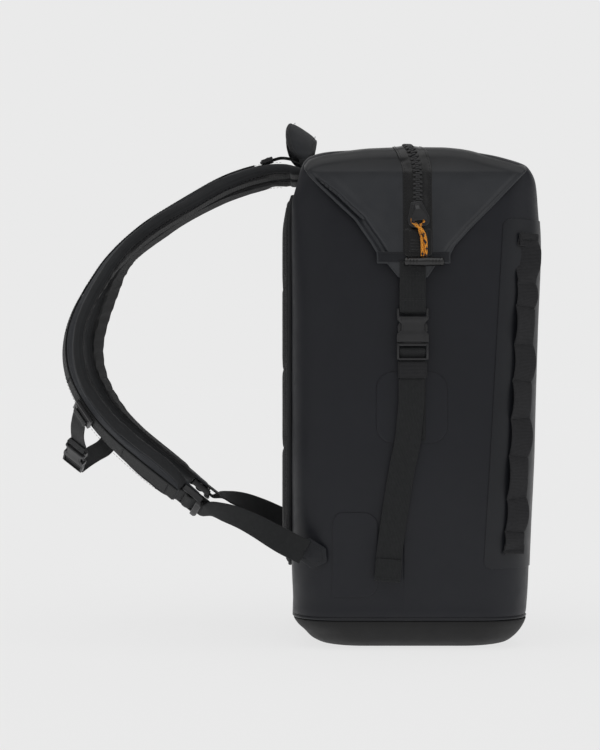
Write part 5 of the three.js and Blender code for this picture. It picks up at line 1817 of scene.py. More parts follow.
stations = np.r_[np.linspace(0, PAD_LEN - 6, 168), PAD_LEN - 4, PAD_LEN - 2.4, PAD_LEN - 1.2, PAD_LEN - 0.3]
small, info = pad_rows(stations, 1.6, 1.9)
V, F = loops(small)
proto = mesh("pad_form", V, F, M_STRAP)
sim = puff(proto, voxel=5.0, pressure=4.0, frames=18, cap=3.4, pinned=lambda q: (q[:, 0] > -118) | (np.linalg.norm(q - PP[-1], axis=1) < 14), bend=0.35)
bpy.data.objects.remove(proto)
if sim is None:
    rows, _ = pad_rows(stations)
else:
    rows = settle(small.reshape(-1, 3), sim).reshape(small.shape)
inf = info.reshape(-1, 5)
flat = rows.reshape(-1, 3)
LOC = []
for i in range(len(stations)):
    s = stations[i]
    p, t, w, n = pad_at(s)
    k = slice(i * rows.shape[1], (i + 1) * rows.shape[1])
    q = inf[k, 2]
    up = inf[k, 3] > 0
    edge = smooth(min(1.0, (PAD_LEN - s) / 14))
    a = pad_hw(s)
    # the pad stays in its space, with a groove beside the bound edge and a seam where the lining starts
    loc_u = (flat[k] - p) @ w
    loc_v = (flat[k] - p) @ n
    b = (4 + 3 * s / 12 if s < 12 else 7.0) + 0.5
    loc_u = np.clip(loc_u, -(a + 0.8), a + 0.8)
    loc_v = np.clip(loc_v, -b, b)
    g = np.exp(-((q - 8.0) / 0.85) ** 2) * up * 1.7 * edge
    roll = 0.8 * np.exp(-((q - 4.6) / 2.6) ** 2) * up * edge
    seam = np.exp(-((q - 3.4) / 0.9) ** 2) * (~up) * 1.1 * edge
    quilt = 0.0
    # soft creases across the inner face where the strap bends most
    bend_here = smooth((s - 190) / 60) * smooth((430 - s) / 60)
    cr = (~up) * bend_here * 0.75 * (np.sin(s * 0.42 + 1.5 * np.sin(inf[k, 0] * 0.08)) ** 3) * smooth(q / 10)
    cr2 = up * bend_here * 0.25 * np.sin(s * 0.21 + inf[k, 0] * 0.05) * smooth((q - 8) / 8)
    # the webbing lies on the face of the pad and presses it flat
    under = up * (1 - smooth((np.abs(inf[k, 0]) - 13.5) / 5)) * smooth((s - 36) / 10)
    loc_v = loc_v * (1 - under) + 7.62 * under
    loc_v = loc_v - g + roll + seam - cr + cr2 * (1 - under)
    LOC.append(np.c_[loc_u, loc_v, (flat[k] - p) @ t])
V, F = loops(flat.reshape(rows.shape))
K = rows.shape[1]
fm = []
for f in F:
    if len(f) > 4:
        fm.append(1)
        continue
    i0 = f[0] % K
    i1 = f[1] % K
    q = max(inf[i0, 2], inf[i1, 2])
    inner = inf[i0, 3] < 0 and inf[i1, 3] < 0 or (inf[i0, 1] < 0 and inf[i1, 1] < 0)
    if inner and q > 3.3:
        fm.append(2)
    elif q <= 7.9:
        fm.append(1)
    else:
        fm.append(0)
lay = np.c_[inf[:, 0], inf[:, 4], inf[:, 3]] * MM


def both(make, name):
    """Builds a piece for the near side, and again with the far strap's own twist, mirrored."""
    global SIDE
    SIDE = "near"
    a = make(f"near_{name}")
    SIDE = "far"
    b = make(f"far_{name}")
    SIDE = "near"
    remap(b, lambda q: q * A([1, -1, 1]))
    flip_normals(b)
    return a, b


def pad_mesh(name):
    out = []
    for i, s in enumerate(stations):
        p, t, w, n = pad_at(s)
        out.append(p + np.outer(LOC[i][:, 0], w) + np.outer(LOC[i][:, 1], n) + np.outer(LOC[i][:, 2], t))
    V, F = loops(A(out))
    return mesh(name, V, F, [M_STRAP, M_BIND, M_MESH], lay=lay, fmat=fm)


pad_n, pad_f = both(pad_mesh, "shoulder_pad_soft")
for o, tag in ((pad_n, "near"), (pad_f, "far")):
    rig.ride(o, "bag")
    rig.replaces(o, f"{tag}_shoulder_pad")
    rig.slot(o, "strap_fabric")
    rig.padded(o, fill=0.65)


def pair(make, name, nodes, body, slot):
    """Builds the near and far piece; nodes are the near and far CAD nodes that they stand for."""
    o, m = both(make, name)
    for ob, tag in ((o, "near"), (m, "far")):
        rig.ride(ob, body)
        for nd in nodes:
            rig.replaces(ob, f"{tag}_{nd}")
        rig.slot(ob, slot)
    return o, m


# webbing along the face of the pad, with its tacks
def face_web(name):
    s = np.r_[np.linspace(44, PAD_LEN - 2, 160)]
    P, W = [], []
    for q in s:
        p, t, w, n = pad_at(q)
        lift = 8.5 + 0.12 * math.sin(q * 0.12) * smooth((q - 60) / 20)
        P.append(p + n * lift)
        W.append(w)
    o = strip(name, A(P), A(W), 12.7, 0.8, M_WEB, step=2.0, curve=False, n=9)
    L = []
    for q in (48, 92, 150, 208, 258, 306, 352, 400, 440, PAD_LEN - 12):
        p, t, w, n = pad_at(q)
        L += bartack(p + n * 9.35, w, t, n, 21, 16, 2.4)
    for sg in (-1, 1):
        line = [(pad_at(q)[0] + pad_at(q)[3] * 9.3 + pad_at(q)[2] * sg * 10.8) for q in np.arange(50, PAD_LEN - 14, 6)]
        nn = [pad_at(q)[3] for q in np.arange(50, PAD_LEN - 14, 6)]
        L.append((A(line), A(nn)))
    d = dashes("x", L, M_THREAD, 2.4, 0.9, 0.2, 0.05)
    return join(name, [o, d])


pair(face_web, "pad_face_strap", ["face_webbing"], "bag", "webbing")


# stitch line beside the bound edge of the pad, on both faces
def pad_stitch(name):
    L = []
    for sg in (-1, 1):
        for face, q0, lift in ((1, 10.2, 7.25), (-1, 5.2, -6.1)):
            pts, nn = [], []
            for s in np.arange(16, PAD_LEN - 20, 4):
                p, t, w, n = pad_at(s)
                u = sg * (pad_hw(s) - q0)
                pts.append(p + w * u + n * lift)
                nn.append(n * face)
            L.append((A(pts), A(nn)))
    return dashes(name, L, M_THREAD, 2.6, 1.1, 0.22, 0.15)


pair(pad_stitch, "pad_edge_stitching", [], "bag", "strap_fabric")


def on_pad(s, along, up, mirror=False):
    global SIDE
    SIDE = "far" if mirror else SIDE
    p, t, w, n = pad_at(s)
    SIDE = "near" if mirror else SIDE

    def fn(q):
        r = p + np.outer(q[:, 0], w) + np.outer(q[:, 1] + up, n) + np.outer(q[:, 2] + along, t)
        return r * A([1, -1, 1]) if mirror else r
    return fn


# ladder lock at the pad's lower end
def ladder(name):
    ob = []
    for sx in (-1, 1):
        lo_, hi_ = sorted((sx * 12.85, sx * 15.2))
        ob.append(bar("l1", lo_, hi_, -3.1, 3.3, 0, 22.6, M_PLASTIC, 1.0))
    ob.append(bar("l2", -13.2, 13.2, -2.9, 2.4, 0, 3.0, M_PLASTIC, 0.9))
    ob.append(bar("l3", -13.2, 13.2, -2.2, 2.6, 8.6, 11.4, M_PLASTIC, 0.8))
    ob.append(bar("l4", -13.2, 13.2, -3.0, 2.2, 19.0, 21.4, M_PLASTIC, 0.8))
    lip = plate("l5", rounded([(-15.1, 19.0), (15.1, 19.0), (15.1, 23.8), (11.5, 25.6), (-11.5, 25.6), (-15.1, 23.8)], [0.8, 0.8, 1.5, 2, 2, 1.5]), 2.6, 5.9, M_PLASTIC, bev=1.0)
    ob.append(lip)
    for k in range(5):
        ob.append(bar("l6", -10, 10, 5.5, 6.3, 20.2 + 1.0 * k, 20.7 + 1.0 * k, M_PLASTIC, 0.2))
    o = join(name, ob)
    return remap(o, on_pad(PAD_LEN, 1.2, 1.5))


pair(ladder, "ladder_lock_frame", ["ladder_lock"], "bag", "moulded_plastic")


# adjusting webbing from the ladder lock down to the lower corner
def adjust(name):
    pe, te, we, ne = pad_at(PAD_LEN)
    loc = lambda y, z: pe + ne * (y + 1.5) + te * (z + 1.2)
    head = [loc(-5.4, 32), loc(-5.3, 24), loc(-5.0, 15), loc(-4.4, 8.5), loc(-2.4, 5.4), loc(1.0, 5.4), loc(3.9, 7.2), loc(4.5, 10), loc(3.9, 13), loc(1.6, 16), loc(0.2, 19.5), loc(0.9, 28)]
    rest = A([[-196.4, -123.9, 137.6], [-185.4, -126, 134.6], [-169.4, -131, 129.4], [-151.5, -137.6, 121], [-137.6, -143, 113.4], [-125.7, -148.4, 107.2], [-119, -153.4, 104.2], [-106, -153.7, 97.6]])
    pts = [*head, *rest]
    W = [we] * len(head)
    for i, p in enumerate(rest):
        a, b = (rest[i - 1] if i else head[-1]), rest[min(i + 1, len(rest) - 1)]
        t = unit(b - a)
        first = 30 * (1.0 if SIDE == "near" else FAR_TWIST)
        w, n = strap_dirs(p.copy(), t, math.radians(first + (85 - first) * min(1, (i + 1) / 6)))
        W.append(w)
    o = strip(name, A(pts), A(W), 12.6, 0.78, M_WEB, step=1.6, n=9)
    return o


pair(adjust, "lower_strap", ["adjust_webbing"], "bag", "webbing")


# fabric tongue that carries the ladder lock, and the sewn root that goes into the bag's top edge
def tongue(name):
    p, t, w, n = pad_at(PAD_LEN)
    P, a = [], []
    for q in np.linspace(PAD_LEN - 30, PAD_LEN - 2, 8):
        pp, tt, ww, nn = pad_at(q)
        P.append(pp - nn * 4.4)
        a.append(13.4 + 8.6 * smooth((PAD_LEN - q) / 26))
    for dz, dy, aa in ((2, -4.2, 13.4), (7, -3.9, 13.2), (12, -3.8, 13.0), (16, -3.7, 12.9)):
        P.append(p + t * dz + n * dy)
        a.append(aa)
    o = strip(name, A(P), w, A(a), 1.3, M_STRAP, step=1.6, n=11, crown=0.1)
    L = []
    for dz in (1.0, 3.0):
        c = p + t * dz - n * 2.6
        L.append((A([c - w * 12, c + w * 12]), n))
    # loop of webbing from the pad's end round the lock's first bar
    f = lambda y, z: p + n * (y + 1.5) + t * (z + 1.2)
    lp = strip("x", A([f(6.2, -24), f(6.1, -14), f(5.6, -6), f(4.3, -1.5), f(2.9, 2.2), f(0.4, 4.4), f(-2.6, 3.6), f(-3.6, 0.5), f(-3.9, -4)]), w, 12.6, 0.75, M_WEB, step=1.2, n=9)
    d = dashes("y", L, M_THREAD, 2.2, 0.9, 0.2, 0.1)
    return join(name, [o, lp, d])


pair(tongue, "pad_end_tongue", [], "bag", "strap_fabric")


def root(name):
    p, t, w, n = pad_at(0)
    P = A([p + t * 5 + n * 0.2, p + t * 1.5 + n * 0.1, p - t * 3, p - t * 8 - n * 0.6, p - t * 13 - n * 1.6])
    o = strip(name, P, w, A([30.0, 30, 30, 29.6, 29]), A([4.6, 4.3, 3.4, 2.6, 2.2]), M_BIND, step=1.5, n=15, crown=0.15)
    L = []
    for dz in (0.5, 2.6):
        c = p - t * dz + n * 4.2
        L.append((A([c - w * 26, c + w * 26]), n))
    return join(name, [o, dashes("y", L, M_THREAD, 2.4, 0.9, 0.22, 0.1)])


pair(root, "strap_root", [], "bag", "strap_fabric")


def tab(name):
    out = rounded([(-117, 95), (-101, 111.5), (-84.5, 101.2), (-83.5, 87.5), (-98.5, 81.3)], [1.5, 2.5, 4, 4, 3])
    o = plate(name, out, -152.7, -151.1, M_PATCH, bev=0.6)
    P = A([(q[0] * 0.0 + q[0], q[1]) for q in rounded([(-112, 95.2), (-101, 107.2), (-88.2, 99.2), (-87.4, 89.6), (-98.6, 85.2), (-112, 95.2)], 1)])
    L = [(np.c_[P[:, 0], np.full(len(P), -152.85), P[:, 1]], A([0, -1.0, 0]))]
    # the webbing's end is box-stitched on top
    for a, b in (((-113, 101.3), (-104.5, 105.8)), ((-113, 101.3), (-106, 89.5)), ((-104.5, 105.8), (-98, 93.8)), ((-106, 89.5), (-98, 93.8)), ((-113, 101.3), (-98, 93.8)), ((-104.5, 105.8), (-106, 89.5))):
        L.append((A([[a[0], -154.6, a[1]], [b[0], -154.6, b[1]]]), A([0, -1.0, 0])))
    d = dashes("x", L, M_THREAD, 2.3, 0.9, 0.22, 0.1)
    return join(name, [o, d])


pair(tab, "corner_tab", ["anchor_tab"], "bag", "weld_patch")


# load lifter: lock on a sewn patch, thin webbing over to the bag's top edge
def lift_map(q):
    x, y, z = q[:, 0], q[:, 1], q[:, 2]
    return np.c_[-144 + z * 0.94 - y * 0.34, -38.5 + x, 491.6 + y * 0.94 + z * 0.34]


def lifter(name):
    ob = []
    for sx in (-1, 1):
        lo_, hi_ = sorted((sx * 10.5, sx * 13.0))
        ob.append(bar("q1", lo_, hi_, -2.2, 2.3, -6, 6, M_PLASTIC, 0.8))
    for z0, z1, y1 in ((-6, -3.6, 1.8), (-0.95, 0.95, 1.6), (3.6, 6.4, 2.4)):
        ob.append(bar("q2", -10.9, 10.9, -2.0, y1, z0, z1, M_PLASTIC, 0.7))
    o = join(name, ob)
    return remap(o, lift_map)


pair(lifter, "load_lifter_lock_frame", ["load_lifter_lock"], "bag", "moulded_plastic")


def lifter_web(name):
    pts = A([[-150.5, 490.2], [-147.0, 490.4], [-145.4, 492.6], [-144.0, 494.2], [-142.3, 494.4], [-140.6, 493.0], [-137.6, 493.4], [-129.6, 495.3], [-119, 494.0], [-110, 490.4], [-103, 489.3], [-96, 491.4]])
    P = np.c_[pts[:, 0], np.full(len(pts), -37.6), pts[:, 1]]
    o1 = strip(name, P, A([0, 1.0, 0]), 9.9, 0.68, M_WEB, step=1.0, n=9)
    # short strap that holds the lock, sewn to the face of the pad
    p0, t0, w0, n0 = pad_at(60)
    hold = []
    for q in np.linspace(34, 78, 16):
        p, t, w, n = pad_at(q)
        hold.append(p + n * (8.0 if q > 44 else 7.9))
    P2 = A(hold)
    P2[:, 1] = -38.6
    o2 = strip("x", P2, A([0, 1.0, 0]), 10.2, 0.75, M_WEBR, step=1.6, n=9)
    return join(name, [o1, o2])


pair(lifter_web, "load_lifter_strap", ["load_lifter_webbing"], "bag", "webbing")

# =====================================================================  grab handle: leaf-shaped padded arch
HH = [(-104.5, -54, 490.6, 4, 1.5, (1, 0, 0)), (-105.2, -53, 495, 6.5, 2, (1, 0, -.1)), (-107, -48, 500.5, 12, 3, (.95, 0, -.25)), (-109, -37, 509.5, 15.2, 4.6, (.92, 0, -.4)), (-108.7, -20, 519.5, 17.2, 5.4, (.87, 0, -.5)), (-107.6, 0, 524.2, 17.4, 6.0, (.83, 0, -.56))]
HH = HH + [(x, -y, z, a, b, w) for x, y, z, a, b, w in reversed(HH[:5])]
HX = catmull(A([[x, y, z, a * 1.0, b, *(A(w) * 20)] for x, y, z, a, b, w in HH]), 700)
HX, HS = _resample_by(HX, 1.6)
HP, HT, HW, HN = frames_of(HX[:, :3], HX[:, 5:8])
if HN[len(HN) // 2][2] < 0:
    HN = -HN


def handle_rows(da, db):
    rows, info = [], []
    for i in range(len(HP)):
        a, b = HX[i, 3] - da * min(1, HX[i, 3] / 12), HX[i, 4] - db * min(1, HX[i, 4] / 3)
        ang = np.linspace(0, 2 * math.pi, 49)[:-1]
        u = a * np.sign(np.cos(ang)) * np.abs(np.cos(ang)) ** 0.72
        v = b * np.sign(np.sin(ang)) * np.abs(np.sin(ang)) ** 0.62
        rows.append(HP[i] + np.outer(u, HW[i]) + np.outer(v, HN[i]))
        info.append(np.c_[u, np.full(48, HS[i]), np.sign(v)])
    return A(rows), A(info)


hr, hi = handle_rows(1.2, 1.2)
V, F = loops(hr)
proto = mesh("handle_form", V, F, M_STRAP)
sim = puff(proto, voxel=4.0, pressure=4.0, frames=16, cap=2.0, pinned=lambda q: q[:, 2] < 496, bend=0.3)
bpy.data.objects.remove(proto)
rows = handle_rows(0.4, 0.3)[0] if sim is None else settle(hr.reshape(-1, 3), sim).reshape(hr.shape)
V, F = loops(rows)
hob = mesh("grab_handle_soft", V, F, M_HANDLE, lay=hi.reshape(-1, 3) * MM)
bind = []
for sg in (-1, 1):
    P, W2 = [], []
    for i in range(2, len(HP) - 2):
        P.append(HP[i] + HW[i] * sg * (HX[i, 3] - 1.9))
        W2.append(HN[i])
    bind.append(strip("hb", A(P), A(W2), np.minimum(3.2, HX[2:-2, 4] * 0.66), 1.5, M_BIND, step=2, curve=False, crown=0.5, n=7))
L = []
for sg in (-1, 1):
    for face in (-1, 1):
        ids = range(8, len(HP) - 8, 2)
        L.append((A([HP[i] + HW[i] * sg * (HX[i, 3] - 4.6) + HN[i] * face * HX[i, 4] * 0.93 for i in ids]), A([HN[i] * face for i in ids])))
bind.append(dashes("hs", L, M_THREAD, 2.4, 1.0, 0.2, 0.1))
bnd = join("grab_handle_binding", bind)
for o in (hob, bnd):
    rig.ride(o, "handle")
    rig.slot(o, "strap_fabric")
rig.replaces(hob, "handle")
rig.padded(hob, fill=0.5)
for s, tag in ((-1, "near"), (1, "far")):
    base = strip(f"{tag}_handle_base", A([[-103.5, s * 54, 486.5], [-104.2, s * 54, 489.2], [-104.5, s * 53.8, 491.6]]), A([1.0, 0, 0]), 6.5, 1.6, M_BIND, step=1.0, n=7)
    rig.ride(base, "bag")
    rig.slot(base, "strap_fabric")

# =====================================================================  sternum strap
SZv = unit(A([0.2115, -0.8355, 0.509]))
SXv = A([0.785, -0.166, -0.598])
SXv = unit(SXv - (SXv @ SZv) * SZv)
SYv = unit(np.cross(SZv, SXv))
SO = A([-347.0, -18, 177.5])


def stern(q):
    q = A(q) * 0.8
    return SO + np.outer(q[:, 0], SXv) + np.outer(q[:, 1], SYv) + np.outer(q[:, 2], SZv)


buckle("sternum", stern, ("sternum", "sternum_plug", "sternum_arm_front", "sternum_arm_back"),
       ("sternum_buckle_socket", "sternum_buckle_plug", "sternum_buckle_arm_front", "sternum_buckle_arm_back"), True)


def s_at_z(z):
    lo, hi = PAD_LEN / 2, PAD_LEN
    for _ in range(40):
        m = (lo + hi) / 2
        if pad_at(m)[0][2] > z:
            lo = m
        else:
            hi = m
    return lo


SN, SF = s_at_z(238), s_at_z(217)


def slider_piece(name):
    ob = []
    for z0, z1 in ((-13.5, -10.4), (10.4, 13.5)):
        ob.append(bar("v1", -12, 12, -1.9, 2.0, z0, z1, M_PLASTIC, 1.1))
    for x0, x1 in ((-12, -8.7), (-5.5, 5.5), (8.7, 12)):
        ob.append(bar("v2", x0, x1, -1.8, 1.8 if x0 == -5.5 else 2.1, -11.2, 11.2, M_PLASTIC, 0.9))
    for k in range(4):
        ob.append(bar("v3", -4.2 + 2.4 * k, -3.2 + 2.4 * k, 1.5, 2.3, -8, 8, M_PLASTIC, 0.3))
    return join(name, ob)


sl = slider_piece("sternum_slider_near_frame")
remap(sl, on_pad(SN, 0, 12.2))
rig.ride(sl, "sternum")
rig.replaces(sl, "sternum_slider_near")
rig.slot(sl, "moulded_plastic")
sl = slider_piece("sternum_slider_far_frame")
remap(sl, on_pad(SF, 0, 14.9, True))
flip_normals(sl)
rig.ride(sl, "sternum")
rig.replaces(sl, "sternum_slider_far")
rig.slot(sl, "moulded_plastic")
# near webbing: round the slider's middle bar, then down to the socket's loop
fn = on_pad(SN, 0, 12.2)
one = lambda f, x, y, z: f(A([[x, y, z]]))[0]
e0, e1 = stern([[0, 0, 60]])[0], stern([[0, 0, 51.4]])[0]
tN = pad_at(SN)[1]
s0 = one(fn, 14.6, 2.4, 0)
pts = [one(fn, -2, 3.5, 0), one(fn, 4, 3.7, 0), one(fn, 10, 3.3, 0), s0, s0 * 0.75 + e0 * 0.25 + A([-1, 0, -0.8]), s0 * 0.5 + e0 * 0.5 + A([-1.5, 0, -1]), s0 * 0.22 + e0 * 0.78 + A([-0.8, 0, -0.5]), e0, e1]
ws = [tN, tN, tN, tN, unit(tN * 0.8 + SXv * 0.2), unit(tN * 0.55 + SXv * 0.45), unit(tN * 0.25 + SXv * 0.75), SXv, SXv]
loop = [stern([[0, 1.9, 49.9]])[0], stern([[0, 2.1, 47.6]])[0], stern([[0, 0.2, 46.2]])[0], stern([[0, -2.4, 47.4]])[0], stern([[0, -2.6, 52]])[0], stern([[0, -2.2, 60]])[0]]
w = strip("sternum_strap_near", A(pts + loop), A(ws + [SXv] * len(loop)), 9.9, 0.62, M_WEB, step=1.0, n=9)
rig.ride(w, "sternum")
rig.replaces(w, "sternum_webbing_near")
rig.slot(w, "webbing")
# far webbing: from the plug across to the far strap's slider, with a short tail
ff = on_pad(SF, 0, 14.9, True)
SIDE = "far"
wf = pad_at(SF)[1] * A([1, -1, 1])
SIDE = "near"
head = [stern([[0, 3.4, 12.5]])[0], stern([[0, 3.0, 9.5]])[0], stern([[0, 0.2, 5.9]])[0], stern([[0, -0.2, 0.0]])[0]]
far = head + [A(q) for q in ([-345.2, -10, 175.2], [-344.5, -6, 175.8], [-338.5, 8, 181], [-331, 30, 186.5], [-322.5, 58, 192], [-316.5, 80, 199.5])] + [one(ff, 16, 3.4, 0), one(ff, 8, 3.5, 0), one(ff, 0, 3.7, 0), one(ff, -6, 3.5, 0)]
kk = [0, 0, 0, 0, 0.03, 0.1, 0.35, 0.6, 0.8, 1, 1, 1, 1, 1]
w = strip("sternum_strap_far", A(far), A([unit(SXv * (1 - k) + wf * k) for k in kk]), 9.9, 0.62, M_WEB, step=1.2, n=9)
p0, p1 = far[6] * MM, far[9] * MM
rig.blend(w, "sternum", "sternum_plug", tuple(p1), tuple(p0))
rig.replaces(w, "sternum_webbing_far")
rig.slot(w, "webbing")

# =====================================================================  back panel: moulded spacer-mesh cushion with channels
def back_form(da=0.0, dx=0.0):
    """The back pad's rounded (y, z) outline, pulled in by da."""
    n_ang = 120
    ys, zs = 111 - da, (79 + da, 456 - da)
    def ring(yh, z0, z1, r):
        return A(rrect(-yh, yh, z0, z1, r, n_ang // 4 - 1))
    outer = ring(ys, zs[0], zs[1], 30 - da)
    return outer


def back_depth(y, z):
    """How far the pad stands off the back, mm, at (y, z)."""
    dy = 111 - np.abs(y)
    dz = np.minimum(453 - z, z - 79)
    # distance to the rounded rectangle's rim
    cy, cz = np.maximum(np.abs(y) - 81, 0), np.maximum(np.maximum(z - 423, 109 - z), 0)
    rim = np.where((cy > 0) & (cz > 0), 30 - np.hypot(cy, cz), np.minimum(dy, dz))
    edge = np.sqrt(np.clip(1 - (1 - np.clip(rim / 9.0, 0, 1)) ** 2, 0, 1))
    d = 1.0 + 6.3 * edge
    ch = lambda t, wd: np.exp(-(t / wd) ** 2)
    # centre channel and the cross channels that split the cushions
    d = d - 4.2 * ch(y, 9) * smooth((rim - 6) / 14)
    for zc, am in ((190, 2.6), (270, 2.6), (352, 2.6)):
        arc = zc + 10 * (np.abs(y) / 80) ** 2
        d = d - am * ch(z - arc, 4.2) * smooth((np.abs(y) - 10) / 8) * smooth((rim - 4) / 10)
    d = d + 1.3 * smooth((rim - 10) / 22) * smooth((np.abs(y) - 16) / 16)
    # seam beside the piping
    d = d - 1.2 * ch(rim - 9.5, 1.4)
    return np.maximum(d, 0.6), rim


ny, nz = 92, 150
yy = np.linspace(-110.6, 110.6, ny)
zz = np.linspace(79.4, 452.6, nz)
Y, Z = np.meshgrid(yy, zz)
# pull the grid's corners in to the rounded outline
cy, cz = np.maximum(np.abs(Y) - 81, 0), np.where(Z > 423, Z - 423, np.where(Z < 109, Z - 109, 0))
m_ = np.maximum(cy, np.abs(cz))
h_ = np.hypot(cy, cz)
sc_ = np.where(h_ > 1e-6, m_ / np.maximum(h_, 1e-6), 1)
Y = np.sign(Y) * (np.minimum(np.abs(Y), 81) + cy * sc_)
Z = np.where(Z > 423, 423 + cz * sc_, np.where(Z < 109, 109 + cz * sc_, Z))
D, R_ = back_depth(Y, Z)
xbk = -118.9
XW = np.maximum(level_at(Z)[0] - 0.3, xbk)       # the bag's back wall, which turns in towards the roof
D = D * (0.35 + 0.65 * smooth((452.5 - Z) / 9.0))
front = np.stack([XW - (D - 1.6), Y, Z], -1)
back = np.stack([XW + 0.6, Y, Z], -1)


def closed_grid(fr, bk):
    n1, n2 = fr.shape[:2]
    V = np.vstack([fr.reshape(-1, 3), bk.reshape(-1, 3)])
    F = [tuple(f) for f in grid_faces(n1, n2, closed=False)]
    o = n1 * n2
    F += [tuple(i + o for i in f[::-1]) for f in grid_faces(n1, n2, closed=False)]
    rim = [(0, j) for j in range(n2)] + [(i, n2 - 1) for i in range(1, n1)] + [(n1 - 1, j) for j in range(n2 - 2, -1, -1)] + [(i, 0) for i in range(n1 - 2, 0, -1)]
    ids = [i * n2 + j for i, j in rim]
    for a, b in zip(ids, ids[1:] + ids[:1]):
        F.append((a, b, b + o, a + o))
    return V, F


V, F = closed_grid(front, back)
proto = mesh("back_form", V, F, M_MESH)
sim = puff(proto, voxel=6.0, pressure=3.0, frames=14, cap=2.2, pinned=lambda q: (q[:, 0] > xbk - 1.0) | (q[:, 2] > 446), bend=0.4)
bpy.data.objects.remove(proto)
if sim is None:
    fr = front - A([1.4, 0, 0])
else:
    fr = settle(front.reshape(-1, 3), sim).reshape(front.shape)
# the cross channels are cut again after the cloth has settled
_, rim = back_depth(Y, Z)
fr[..., 0] = np.clip(fr[..., 0], xbk - 9.6, xbk - 0.6)
fr[..., 1:] = np.stack([Y, Z], -1) + np.clip(fr[..., 1:] - np.stack([Y, Z], -1), -0.8, 0.8)
for zc in (190, 270, 352):
    arc = zc + 10 * (np.abs(Y) / 80) ** 2
    fr[..., 0] += 0.9 * np.exp(-((Z - arc) / 1.6) ** 2) * smooth((np.abs(Y) - 12) / 6) * smooth((rim - 12) / 6)
fr[..., 0] = np.minimum(fr[..., 0], XW - 0.5)
V, F = closed_grid(fr, back)
lay = np.c_[np.r_[Y.ravel(), Y.ravel()], np.r_[Z.ravel(), Z.ravel()], np.zeros(2 * Y.size)] * MM
bp = mesh("back_cushion", V, F, M_MESH, lay=lay)
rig.ride(bp, "bag")
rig.replaces(bp, "back_pad")
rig.slot(bp, "back_mesh")
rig.padded(bp, fill=0.55)
rimline = A(rrect(-110.2, 110.2, 79.8, 452.2, 29.5, 20))
rimline = np.vstack([rimline, rimline[:1]])
P = np.c_[np.maximum(level_at(rimline[:, 1])[0] - 0.3, xbk) - 1.5, rimline]
P, _s = resample(P, 2.0)
pipe = strip("back_cushion_piping", P, A([1.0, 0, 0]), 1.9, 1.15, M_BIND, step=2.0, curve=False, crown=0.15, n=7, round_ends=False)
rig.ride(pipe, "bag")
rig.slot(pipe, "back_mesh")
L = []
inn = A(rrect(-101.5, 101.5, 88.5, 443.5, 21, 16))
inn = np.vstack([inn, inn[:1]])
gy, gz, gx = Y.ravel(), Z.ravel(), fr[..., 0].ravel()
xs = A([gx[np.argmin((gy - q[0]) ** 2 + (gz - q[1]) ** 2)] for q in inn])
L.append((np.c_[xs - 0.1, inn], A([-1.0, 0, 0])))
o = dashes("back_cushion_stitching", L, M_THREAD, 2.6, 1.1, 0.24, 0.1)
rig.ride(o, "bag")
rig.slot(o, "back_mesh")

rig.cord(cord_ob, exit=(A(CORD[0]) * MM).tolist(), length=CORD_LEN * MM, diameter=0.0032, far_end="fitting", stiffness="limp", lay="hanging",
        path=(CORD_PATH * MM).tolist(), with_pieces=[tog])

# =====================================================================  floor and light
def stage():
    n = 72
    V = [(0, 0, -0.05)]
    F = []
    radii = [400, 1200, 4000, 12000, 40000]
    for r in radii:
        for k in range(n):
            a = 2 * math.pi * k / n
            V.append((r * math.cos(a), r * math.sin(a), -0.05))
    for k in range(n):
        F.append((0, 1 + k, 1 + (k + 1) % n))
    for j in range(len(radii) - 1):
        for k in range(n):
            a, b = 1 + j * n + k, 1 + j * n + (k + 1) % n
            F.append((a, a + n, b + n, b))
    t = NT("floor")
    b = t.bsdf.inputs
    b["Base Color"].default_value = (FLOOR_ALBEDO,) * 3 + (1,)
    b["Roughness"].default_value = 1.0
    b["Specular IOR Level"].default_value = 0.0
    b["IOR"].default_value = 1.0
    b["Emission Color"].default_value = (1, 1, 1, 1)
    b["Emission Strength"].default_value = FLOOR_EMIT
    ob = mesh("floor", V, F, t.m, fix=False)
    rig.stage(ob)
    return ob


FLOOR_ALBEDO = 0.15
FLOOR_EMIT = 0.727
BACK = 0.8228
AMBIENT = 0.30
LEVEL = 0.5
floor = stage()

world = bpy.data.worlds.new("studio")
bpy.context.scene.world = world
world.use_nodes = True
wt = world.node_tree
for nd in list(wt.nodes):
    wt.nodes.remove(nd)


def wn(kind):
    return wt.nodes.new(kind)


def wmath(op, a, b=0.0, clamp=False):
    nd = wn("ShaderNodeMath")
    nd.operation = op
    nd.use_clamp = clamp
    for i, v in enumerate((a, b)):
        if isinstance(v, bpy.types.NodeSocket):
            wt.links.new(v, nd.inputs[i])
        else:
            nd.inputs[i].default_value = v
    return nd.outputs[0]


coord = wn("ShaderNodeTexCoord").outputs["Generated"]


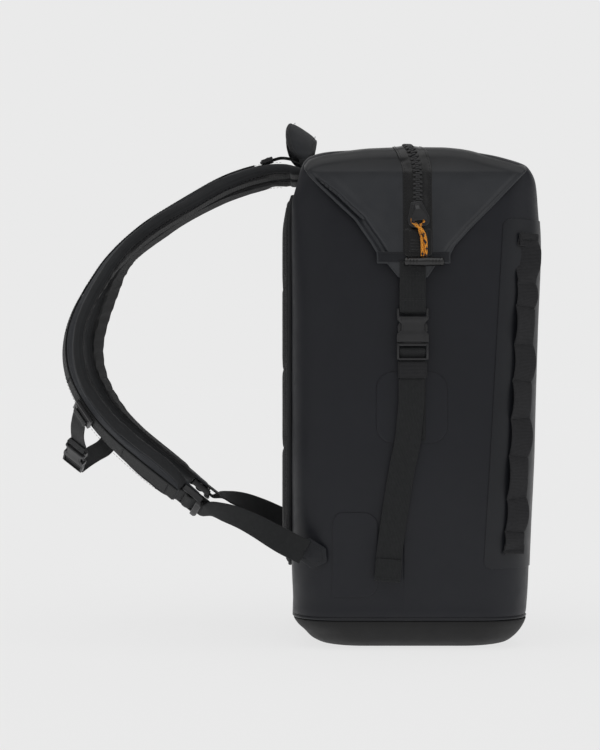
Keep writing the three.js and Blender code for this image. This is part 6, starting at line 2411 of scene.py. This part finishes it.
def lamp(direction, spread, power, soft=0.35):
    """A soft box far away: direction it shines from, half width in degrees."""
    d = unit(A(direction))
    nd = wn("ShaderNodeVectorMath")
    nd.operation = "DOT_PRODUCT"
    wt.links.new(coord, nd.inputs[0])
    nd.inputs[1].default_value = tuple(d)
    mr = wn("ShaderNodeMapRange")
    mr.interpolation_type = "SMOOTHSTEP"
    wt.links.new(nd.outputs["Value"], mr.inputs["Value"])
    mr.inputs["From Min"].default_value = math.cos(math.radians(spread * (1 + soft)))
    mr.inputs["From Max"].default_value = math.cos(math.radians(spread * (1 - soft)))
    mr.inputs["To Min"].default_value = 0
    mr.inputs["To Max"].default_value = power
    return mr.outputs[0]


total = None
for args in LAMPS if "LAMPS" in globals() else [
    ((-0.1, -0.25, 1.0), 34, 1.9, 0.5),      # overhead box
    ((0.9, -0.55, 0.35), 24, 1.0, 0.6),      # front right
    ((-0.85, -0.5, 0.5), 24, 0.5, 0.6),      # left
    ((0.0, -1.0, 0.35), 30, 0.22, 0.6),      # from the camera's side
    ((0.5, 1.0, 0.5), 28, 0.9, 0.6),         # behind, for the edges
    ((-0.6, 1.0, 0.4), 28, 0.7, 0.6),
]:
    v = lamp(*args)
    total = v if total is None else wmath("ADD", total, v)
light = wmath("MULTIPLY", wmath("ADD", total, AMBIENT), LEVEL)
lp = wn("ShaderNodeLightPath").outputs["Is Camera Ray"]
val = wmath("ADD", wmath("MULTIPLY", lp, BACK), wmath("MULTIPLY", wmath("SUBTRACT", 1.0, lp), light))
bg = wn("ShaderNodeBackground")
comb = wn("ShaderNodeCombineColor")
for i in range(3):
    wt.links.new(val, comb.inputs[i])
wt.links.new(comb.outputs[0], bg.inputs[0])
outw = wn("ShaderNodeOutputWorld")
wt.links.new(bg.outputs[0], outw.inputs[0])
sc = bpy.context.scene
sc.view_settings.view_transform = "Standard"
sc.view_settings.look = "None"
sc.view_settings.exposure = 0
sc.view_settings.gamma = 1

# =====================================================================  end
lo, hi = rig.bounds()
json.dump({"cad": [CAD_LO, CAD_HI], "visual": [list(lo), list(hi)]}, open("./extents.json", "w"))
